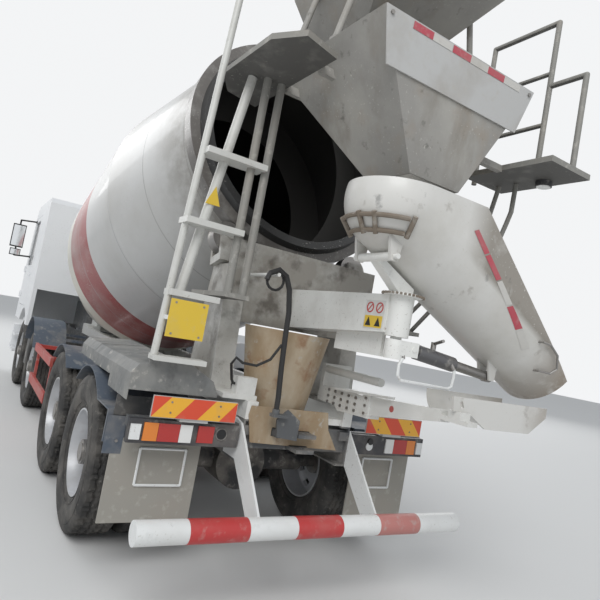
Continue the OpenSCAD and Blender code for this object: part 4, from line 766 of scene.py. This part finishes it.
def chute_tapes():
    """Red and white tape laid on the chute's curve, with a small gap between its pieces."""
    piece = Piece("chute_tapes", "chute", "board_sheet")
    steps, wide = 6, 4
    for a, b in zip(CHUTE_TAPE, CHUTE_TAPE[1:]):
        points = []
        for i in range(steps + 1):
            t = 0.03 + 0.94 * i / steps
            y0, z0, y1, z1 = (a[k] + (b[k] - a[k]) * t for k in range(4))
            for j in range(wide):
                u = j / (wide - 1)
                points.append(on_chute(y0 + (y1 - y0) * u, z0 + (z1 - z0) * u))
        corners = [i * wide + j for i in range(steps) for j in range(wide - 1)]
        piece.add(points, [(c, c + 1, c + wide + 1, c + wide) for c in corners], a[4])
    piece.make()


BOWL_CENTER = Vector((POST_X, CHUTE_BACK, CHUTE_AXIS_Z))


def on_bowl(angle, drop, lift):
    """A point round the bowl: angle from the left side towards the rear, and drop under its middle."""
    r = CHUTE_R + lift
    flat = math.sqrt(max(r * r - drop * drop, 0.0))
    return BOWL_CENTER + Vector((-math.sin(angle) * flat, math.cos(angle) * flat, -drop))


def bowl_bracket():
    """Straps and struts round the bowl that carry the tilt hinge."""
    piece = Piece("bowl_bracket", "chute", "chute_grey")
    for drop in (0.135, 0.205):
        route = [on_bowl(math.radians(a), drop, 0.014) for a in range(-38, 76, 6)]
        piece.tube(route, 0.013, "brown", 8)
    for a in (-38, 10, 30, 75):
        high, low = on_bowl(math.radians(a), 0.120, 0.018), on_bowl(math.radians(a), 0.222, 0.020)
        piece.rod(high, low, 0.014, "brown", 8)
    piece.make()


LOOP_ROUTE = [(-0.884, 1.842), (-0.956, 1.834), (-1.040, 1.780), (-1.078, 1.700), (-1.050, 1.665),
              (-0.968, 1.669)]


def outlet_loop():
    """Wire handle at the chute's lower end."""
    piece = Piece("outlet_loop", "chute", "chute_grey")
    route = [Vector(on_chute(y, z, 0.03)) for y, z in LOOP_ROUTE]
    route = [Vector(on_chute(*LOOP_ROUTE[0], -0.004))] + route + [Vector(on_chute(*LOOP_ROUTE[-1], -0.004))]
    piece.tube(route, 0.007, "steel", 8)
    piece.make()


# The toothed disc of the chute's post; a tooth's outline as places out from the axis and across
TEETH, TOOTH_LOW, TOOTH_HIGH = 30, 1.9415, 0.012
TOOTH = ((0.106, -0.008), (0.123, -0.004), (0.123, 0.004), (0.106, 0.008))
TOOTH_FACES = [(3, 2, 1, 0), (4, 5, 6, 7), (0, 1, 5, 4), (1, 2, 6, 5), (2, 3, 7, 6), (3, 0, 4, 7)]


def swivel_teeth():
    piece = Piece("swivel_teeth", "chute_post", "support_white")
    middle = Vector((POST_X, 0, TOOTH_LOW))
    for i in range(TEETH):
        a = 2 * math.pi * i / TEETH
        u, v = Vector((math.cos(a), math.sin(a), 0)), Vector((-math.sin(a), math.cos(a), 0))
        corners = [middle + u * r + v * w for r, w in TOOTH]
        piece.add(corners + [c + Vector((0, 0, TOOTH_HIGH)) for c in corners], TOOTH_FACES, "brown")
    piece.make()


HOOP_ROUTE = [(-0.032, 1.600), (-0.010, 1.560), (-0.014, 1.500), (-0.040, 1.475), (-0.420, 1.465),
              (-0.447, 1.480), (-0.455, 1.540), (-0.450, 1.585)]


def jack_levers():
    """Handle hoop and lever of the jack, seen under its barrel."""
    piece = Piece("jack_handles", "jack_barrel", "jack_steel")
    x = POST_X - 0.050
    piece.tube([(x, y, z) for y, z in HOOP_ROUTE], 0.009, "clean_white", 8)
    piece.rod((x + 0.02, -0.045, 1.655), (x, -0.032, 1.596), 0.012, "steel", 8)
    piece.rod((x + 0.02, -0.430, 1.620), (x, -0.450, 1.580), 0.012, "steel", 8)
    piece.rod((POST_X, -0.30, 1.668), (POST_X, -0.30, 1.722), 0.016, "steel", 12)
    piece.rod((POST_X, -0.30, 1.712), (POST_X - 0.11, -0.26, 1.735), 0.010, "steel", 8)
    piece.make()


ARM_LEFT_Y = -0.2755


def arm_bolts():
    """Three rows of bolts at the lower arm's root, and the clamp's."""
    piece = Piece("arm_bolts", "chassis", "support_white")
    for z in (1.185, 1.228, 1.270):
        for x in (-0.78, -0.86, -0.94, -1.02, -1.10):
            piece.rod((x, ARM_LEFT_Y - 0.001, z), (x, ARM_LEFT_Y + 0.010, z), 0.011, "steel", 6)
    for z in (1.19, 1.24, 1.29):
        piece.rod((-1.205, ARM_LEFT_Y - 0.001, z), (-1.205, ARM_LEFT_Y + 0.010, z), 0.010, "steel", 6)
    piece.rod((-1.446, -0.2905, 1.269), (-1.446, -0.2880, 1.269), 0.020, "tape_red", 20)
    piece.make()


def deck_lamp():
    piece = Piece("deck_lamp", "chassis", "lamp_plastic")
    piece.rod((-1.80, -0.935, 2.8845), (-1.80, -0.935, 2.850), 0.052, "lamp_body", 28)
    piece.rod((-1.80, -0.935, 2.8505), (-1.80, -0.935, 2.846), 0.044, "lamp_white", 28)
    piece.make()


DRUM_INNER = [(-2.0, 1.160), (-1.231, 1.163), (0.002, 0.899), (0.10, 0.793)]


def drum_inner_radius(s):
    for (a, ra), (b, rb) in zip(DRUM_INNER, DRUM_INNER[1:]):
        if s <= b:
            return ra + (rb - ra) * (s - a) / (b - a)
    return DRUM_INNER[-1][1]


def drum_fins():
    """Two mixing spirals inside the drum's rear cone, near-black as painted shade."""
    piece = Piece("drum_fins", "drum", "drum_grey")
    steps = 84
    for start in (0.0, math.pi):
        points, faces = [], []
        for i in range(steps + 1):
            s = -1.70 + 1.74 * i / steps
            angle = start + 1.9 * math.pi * i / steps
            outer = drum_inner_radius(s) - 0.002
            inner = outer - min(0.34, 0.12 + 0.22 * (0.04 - s) / 0.8)
            section = ((s, outer), (s - 0.05, inner), (s - 0.058, inner), (s - 0.008, outer))
            points += [on_drum(place, r, angle) for place, r in section]
        for i in range(steps):
            a, b = i * 4, i * 4 + 4
            faces += [(a + k, a + (k + 1) % 4, b + (k + 1) % 4, b + k) for k in range(4)]
        faces += [(3, 2, 1, 0), (steps * 4, steps * 4 + 1, steps * 4 + 2, steps * 4 + 3)]
        piece.add(points, faces, "fin")
    piece.make()


BOARD_TOP, BOARD_T = (-1.880, 0, 3.325), 0.0115
BOARD_LEAN = math.atan2(0.08, 0.74)
BOARD_TAPES, BOARD_TAPE_LEN, BOARD_TAPE_PITCH = (0.404, 0.112, -0.174), 0.142, 0.286
BOARD_TAPE_TOP, BOARD_TAPE_FOOT = 0.008, 0.047


def board_marks():
    """Tape and bolts on the blank number board, which leans with the hopper's rear wall."""
    piece = Piece("board_marks", "chassis", "board_sheet")
    down = Vector((math.sin(BOARD_LEAN), 0, -math.cos(BOARD_LEAN)))
    out = Vector((-math.cos(BOARD_LEAN), 0, -math.sin(BOARD_LEAN)))
    top = Vector(BOARD_TOP) + out * BOARD_T

    def tape(y0, y1, look):
        places = ((y0, BOARD_TAPE_FOOT), (y1, BOARD_TAPE_FOOT), (y1, BOARD_TAPE_TOP), (y0, BOARD_TAPE_TOP))
        piece.slab([top + down * d + Vector((0, y, 0)) + out * 0.0012 for y, d in places], 0.001, look)
    for start in BOARD_TAPES:
        tape(start, start - BOARD_TAPE_LEN, "faded_red")
        tape(start - BOARD_TAPE_LEN, start - BOARD_TAPE_PITCH, "faded_white")
    for y in (-0.55, 0.55):
        c = top + down * 0.03 + Vector((0, y, 0))
        piece.rod(c, c + out * 0.008, 0.012, "steel", 6)
    piece.make()


rear_lamps()
chevrons()
bumper_bands()
flap_frames()
rear_plates()
warning_labels()
chute_tapes()
bowl_bracket()
outlet_loop()
swivel_teeth()
jack_levers()
arm_bolts()
deck_lamp()
drum_fins()
board_marks()


# Rims with hand holes

RIM_R, RIM_T, RIM_HALF_W, HUB_R, BORE_R = 0.3027, 0.014, 0.115, 0.105, 0.0505


HAND_HOLES, RIM_STEPS = 10, 120
HOLE_PITCH = RIM_STEPS // HAND_HOLES
HOLE_STEPS = 5


def rim_shell(piece, x, y, out, disc):
    """Ring and disc of a wheel; the dish opens to the side out, and disc is the hub face's place."""
    ring = [(RIM_HALF_W, RIM_R - RIM_T), (RIM_HALF_W, RIM_R - 0.002), (RIM_HALF_W - 0.010, RIM_R),
            (-RIM_HALF_W + 0.010, RIM_R), (-RIM_HALF_W, RIM_R - 0.002), (-RIM_HALF_W, RIM_R - RIM_T),
            (-RIM_HALF_W + 0.035, RIM_R - RIM_T - 0.004), (-0.030, RIM_R - RIM_T - 0.012),
            (0.030, RIM_R - RIM_T - 0.012), (RIM_HALF_W - 0.035, RIM_R - RIM_T - 0.004)]
    front = [(disc - 0.046, RIM_R - RIM_T - 0.004), (disc - 0.024, 0.270), (disc - 0.010, 0.252),
             (disc - 0.004, 0.222), (disc, 0.205), (disc, HUB_R)]
    back = [(a - 0.013, r) for a, r in front]

    def place(t, row):
        turn = 2 * math.pi * t / RIM_STEPS
        return (x + row[1] * math.cos(turn), y + out * row[0], WHEEL_Z + row[1] * math.sin(turn))

    def lathe(rows, closed, flip, skip=None):
        points = [place(t, row) for t in range(RIM_STEPS) for row in rows]
        n, faces = len(rows), []
        for t in range(RIM_STEPS):
            u = (t + 1) % RIM_STEPS
            for k in range(n if closed else n - 1):
                if skip and skip(t, k):
                    continue
                l = (k + 1) % n
                face = (t * n + k, t * n + l, u * n + l, u * n + k)
                faces.append(face[::-1] if flip else face)
        piece.add(points, faces, "rim")

    def holed(t, k):
        return t % HOLE_PITCH < HOLE_STEPS and 1 <= k <= 2
    lathe(ring, True, out > 0)
    lathe(front, False, out < 0, holed)
    lathe(back, False, out > 0, holed)
    walls, faces = [], []
    for first in range(0, RIM_STEPS, HOLE_PITCH):
        last = first + HOLE_STEPS
        edge = [(t, 1) for t in range(first, last + 1)] + [(last, 2)]
        edge += [(t, 3) for t in range(last, first - 1, -1)] + [(first, 2)]
        start = len(walls)
        for t, k in edge:
            walls += [place(t, front[k]), place(t, back[k])]
        m = len(edge)
        faces += [(start + 2 * i, start + 2 * i + 1, start + 2 * ((i + 1) % m) + 1, start + 2 * ((i + 1) % m))
                  for i in range(m)]
    piece.add(walls, faces, "rim")


def pipe(piece, x, z, y0, y1, outer, inner, look, steps=48):
    """A hub or a sleeve: a thick-walled tube along y."""
    rows = [(y0, inner), (y0, outer), (y1, outer), (y1, inner)]
    points = [(x + r * math.cos(2 * math.pi * t / steps), y, z + r * math.sin(2 * math.pi * t / steps))
              for t in range(steps) for y, r in rows]
    faces = [(t * 4 + k, t * 4 + (k + 1) % 4, (t + 1) % steps * 4 + (k + 1) % 4, (t + 1) % steps * 4 + k)
             for t in range(steps) for k in range(4)]
    piece.add(points, faces, look)


# Hub as places out from the wheel's middle (inner end, outer end, cap's end, plug's end) and two radii
STEERED_HUB = (-0.050, 0.110, 0.142, 0.150, 0.080, 0.062)
DRIVEN_HUB = (-0.316, 0.041, 0.092, 0.101, 0.085, 0.066)
STEERED_DISC, TWIN_OUTER_DISC, TWIN_INNER_DISC = 0.073, 0.085, 0.098


def hub(piece, x, y, side, rows):
    inner, outer, cap, plug, cap_r, plug_r = rows
    pipe(piece, x, WHEEL_Z, *sorted((y + side * inner, y + side * outer)), HUB_R, BORE_R, "steel")
    piece.rod((x, y + side * outer, WHEEL_Z), (x, y + side * cap, WHEEL_Z), cap_r, "steel", 48)
    piece.rod((x, y + side * cap, WHEEL_Z), (x, y + side * plug, WHEEL_Z), plug_r, "steel", 48)


def make_rims():
    for axle, x in AXLES.items():
        for side, letter in SIDES:
            name = f"{axle}{letter}"
            if axle in STEERED_AXLES:
                piece = Piece(f"rim_shell_{name}", f"wheel_{name}", "rim_silver")
                rim_shell(piece, x, side * STEERED_Y, side, STEERED_DISC)
                hub(piece, x, side * STEERED_Y, side, STEERED_HUB)
                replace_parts(piece.make(), f"rim_{name}")
                continue
            piece = Piece(f"rim_shells_{name}", f"wheels_{name}", "rim_silver")
            rim_shell(piece, x, side * TWIN_OUTER_Y, -side, TWIN_OUTER_DISC)
            rim_shell(piece, x, side * TWIN_INNER_Y, side, TWIN_INNER_DISC)
            hub(piece, x, side * TWIN_OUTER_Y, side, DRIVEN_HUB)
            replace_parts(piece.make(), f"rims_{name}")


make_rims()


# Cab details

CAB_FRONT, CAB_BACK, CAB_HALF_W, CAB_FLOOR = 7.40, 5.25, 1.225, 1.64
SEAT_X, SEAT_Y = CAB_BACK + 0.71, CAB_HALF_W - 0.665


def pad(name, low, high, bulge=0.022, cells=14):
    """A cushion between two corners, crowned on every side."""
    low, high = Vector(low), Vector(high)
    middle, half = (low + high) / 2, (high - low) / 2
    points, faces = [], []
    for axis in range(3):
        for sign in (-1, 1):
            start = len(points)
            u, v = [k for k in range(3) if k != axis]
            for i in range(cells + 1):
                for j in range(cells + 1):
                    p = [0.0, 0.0, 0.0]
                    p[axis], p[u], p[v] = sign, 2 * i / cells - 1, 2 * j / cells - 1
                    q = []
                    for k in range(3):
                        others = [p[m] for m in range(3) if m != k]
                        crown = (1 - others[0] ** 4) * (1 - others[1] ** 4)
                        tuck = 1 - bulge / half[k] * (1 - crown)
                        q.append(middle[k] + half[k] * p[k] * tuck)
                    points.append(q)
            for i in range(cells):
                for j in range(cells):
                    a = start + i * (cells + 1) + j
                    face = (a, a + 1, a + cells + 2, a + cells + 1)
                    faces.append(face if (sign > 0) == (axis == 1) else face[::-1])
    piece = Piece(name, "cab", "trim_dark")
    piece.add(points, faces, "cushion")
    made = piece.make()
    weld = made.modifiers.new("weld", "WELD")
    weld.merge_threshold = 0.0005


def seats():
    for side, letter in DOOR_SIDES:
        y = side * SEAT_Y
        pad(f"seat_base_{letter}", (SEAT_X + 0.075, y - 0.255, CAB_FLOOR + 0.285),
            (SEAT_X + 0.515, y + 0.255, CAB_FLOOR + 0.385), 0.026)
        pad(f"seat_back_{letter}", (SEAT_X + 0.035, y - 0.235, CAB_FLOOR + 0.395),
            (SEAT_X + 0.135, y + 0.235, CAB_FLOOR + 0.905), 0.026)
    pad("bunk_mattress", (CAB_BACK + 0.065, -0.890, CAB_FLOOR + 0.258),
        (CAB_BACK + 0.445, 0.890, CAB_FLOOR + 0.350), 0.028, 22)


WIPERS = (-0.75, 0.0, 0.75)
ROOF_LAMPS = (-1.0, -0.55, 0.0, 0.55, 1.0)


def cab_trim():
    """Three wipers and five marker lamps on the roof."""
    piece = Piece("cab_trim", "cab", "trim_dark")
    for y in WIPERS:
        foot = Vector((CAB_FRONT - 0.012, y, 1.975))
        tip = Vector((CAB_FRONT - 0.105, y + 0.34, 2.42))
        piece.rod(foot, foot + Vector((0.018, 0, 0.0)), 0.018, "black", 14)
        piece.rod(foot + Vector((0.014, 0, 0)), tip, 0.006, "black", 8)
        piece.rod(tip + Vector((-0.060, 0.06, 0.26)), tip + Vector((0.052, -0.06, -0.24)), 0.006, "black", 8)
    for y in ROOF_LAMPS:
        piece.rod((CAB_BACK + 0.9, y, 3.030), (CAB_BACK + 0.96, y, 3.030), 0.020, "lamp_orange", 12)
    piece.make()


# Head lamps in the front bumper's face: rows of place across and radius
BUMPER_FACE_X, HEAD_LAMP_Z = CAB_FRONT + 0.050, 0.712
HEAD_LAMPS = ((0.885, 0.062), (1.030, 0.055))


def head_lamps():
    piece = Piece("head_lamps", "chassis", "lamp_plastic")
    back, front = BUMPER_FACE_X - 0.001, BUMPER_FACE_X + 0.0003
    for side in (-1, 1):
        for y, radius in HEAD_LAMPS:
            piece.rod((back, side * y, HEAD_LAMP_Z), (front, side * y, HEAD_LAMP_Z), radius, "lamp_white", 32)
            middle = (BUMPER_FACE_X - 0.0045, side * y, HEAD_LAMP_Z)
            piece.ring(middle, (1, 0, 0), radius, 0.005, "bright", 32, 6)
        piece.side_box(side, (back, 1.10, 0.64), (front, 1.125, 0.78), "lamp_orange")
    piece.make()


# Rows of rear face, lower end, upper end and half width of a door's two mirrors
MIRROR_Y = 1.480
MIRRORS = ((6.9595, 2.27, 2.64, 0.092), (6.9695, 2.113, 2.207, 0.074))


def mirror_faces():
    for side, letter in DOOR_SIDES:
        piece = Piece(f"mirror_glass_{letter}", f"door_{letter}", "cab_glass")
        y = side * MIRROR_Y
        for back, low, high, half in MIRRORS:
            piece.box((back - 0.003, y - half, low), (back, y + half, high), "mirror")
        piece.make()


seats()
cab_trim()
head_lamps()
mirror_faces()


# Floor and light

def make_stage():
    bpy.ops.mesh.primitive_plane_add(size=120, location=(0, 0, 0))
    floor = bpy.context.object
    floor.name = "floor"
    floor.data.materials.append(plain("floor_pale", (0.72, 0.72, 0.71), 0.9))
    world = bpy.data.worlds.new("world")
    bpy.context.scene.world = world
    world.use_nodes = True
    tree = world.node_tree
    back = tree.nodes["Background"]
    back.inputs["Color"].default_value = (0.86, 0.90, 0.95, 1)
    back.inputs["Strength"].default_value = 0.54
    seen = node_in(tree, "ShaderNodeBackground")
    seen.inputs["Color"].default_value = (0.90, 0.91, 0.92, 1)
    seen.inputs["Strength"].default_value = 1.0
    path = node_in(tree, "ShaderNodeLightPath")
    either = node_in(tree, "ShaderNodeMath", operation="MAXIMUM")
    tree.links.new(path.outputs["Is Camera Ray"], either.inputs[0])
    tree.links.new(path.outputs["Is Glossy Ray"], either.inputs[1])
    mix = node_in(tree, "ShaderNodeMixShader")
    tree.links.new(either.outputs[0], mix.inputs[0])
    tree.links.new(back.outputs[0], mix.inputs[1])
    tree.links.new(seen.outputs[0], mix.inputs[2])
    tree.links.new(mix.outputs[0], tree.nodes["World Output"].inputs[0])


# Rows of name, place, size and power
LAMPS = (("key", (-14, 9, 13), 10, 1750), ("fill", (10, -14, 11), 12, 800), ("front", (16, 8, 10), 9, 850))


def make_lamps():
    for name, place, size, power in LAMPS:
        data = bpy.data.lights.new(name, "AREA")
        data.energy, data.size = power, size
        lamp = bpy.data.objects.new(name, data)
        lamp.location = place
        lamp.rotation_euler = (Vector((0, 0, 1.6)) - Vector(place)).to_track_quat("-Z", "Y").to_euler()
        bpy.context.scene.collection.objects.link(lamp)


make_stage()
make_lamps()
bpy.context.scene.view_settings.view_transform = "Standard"
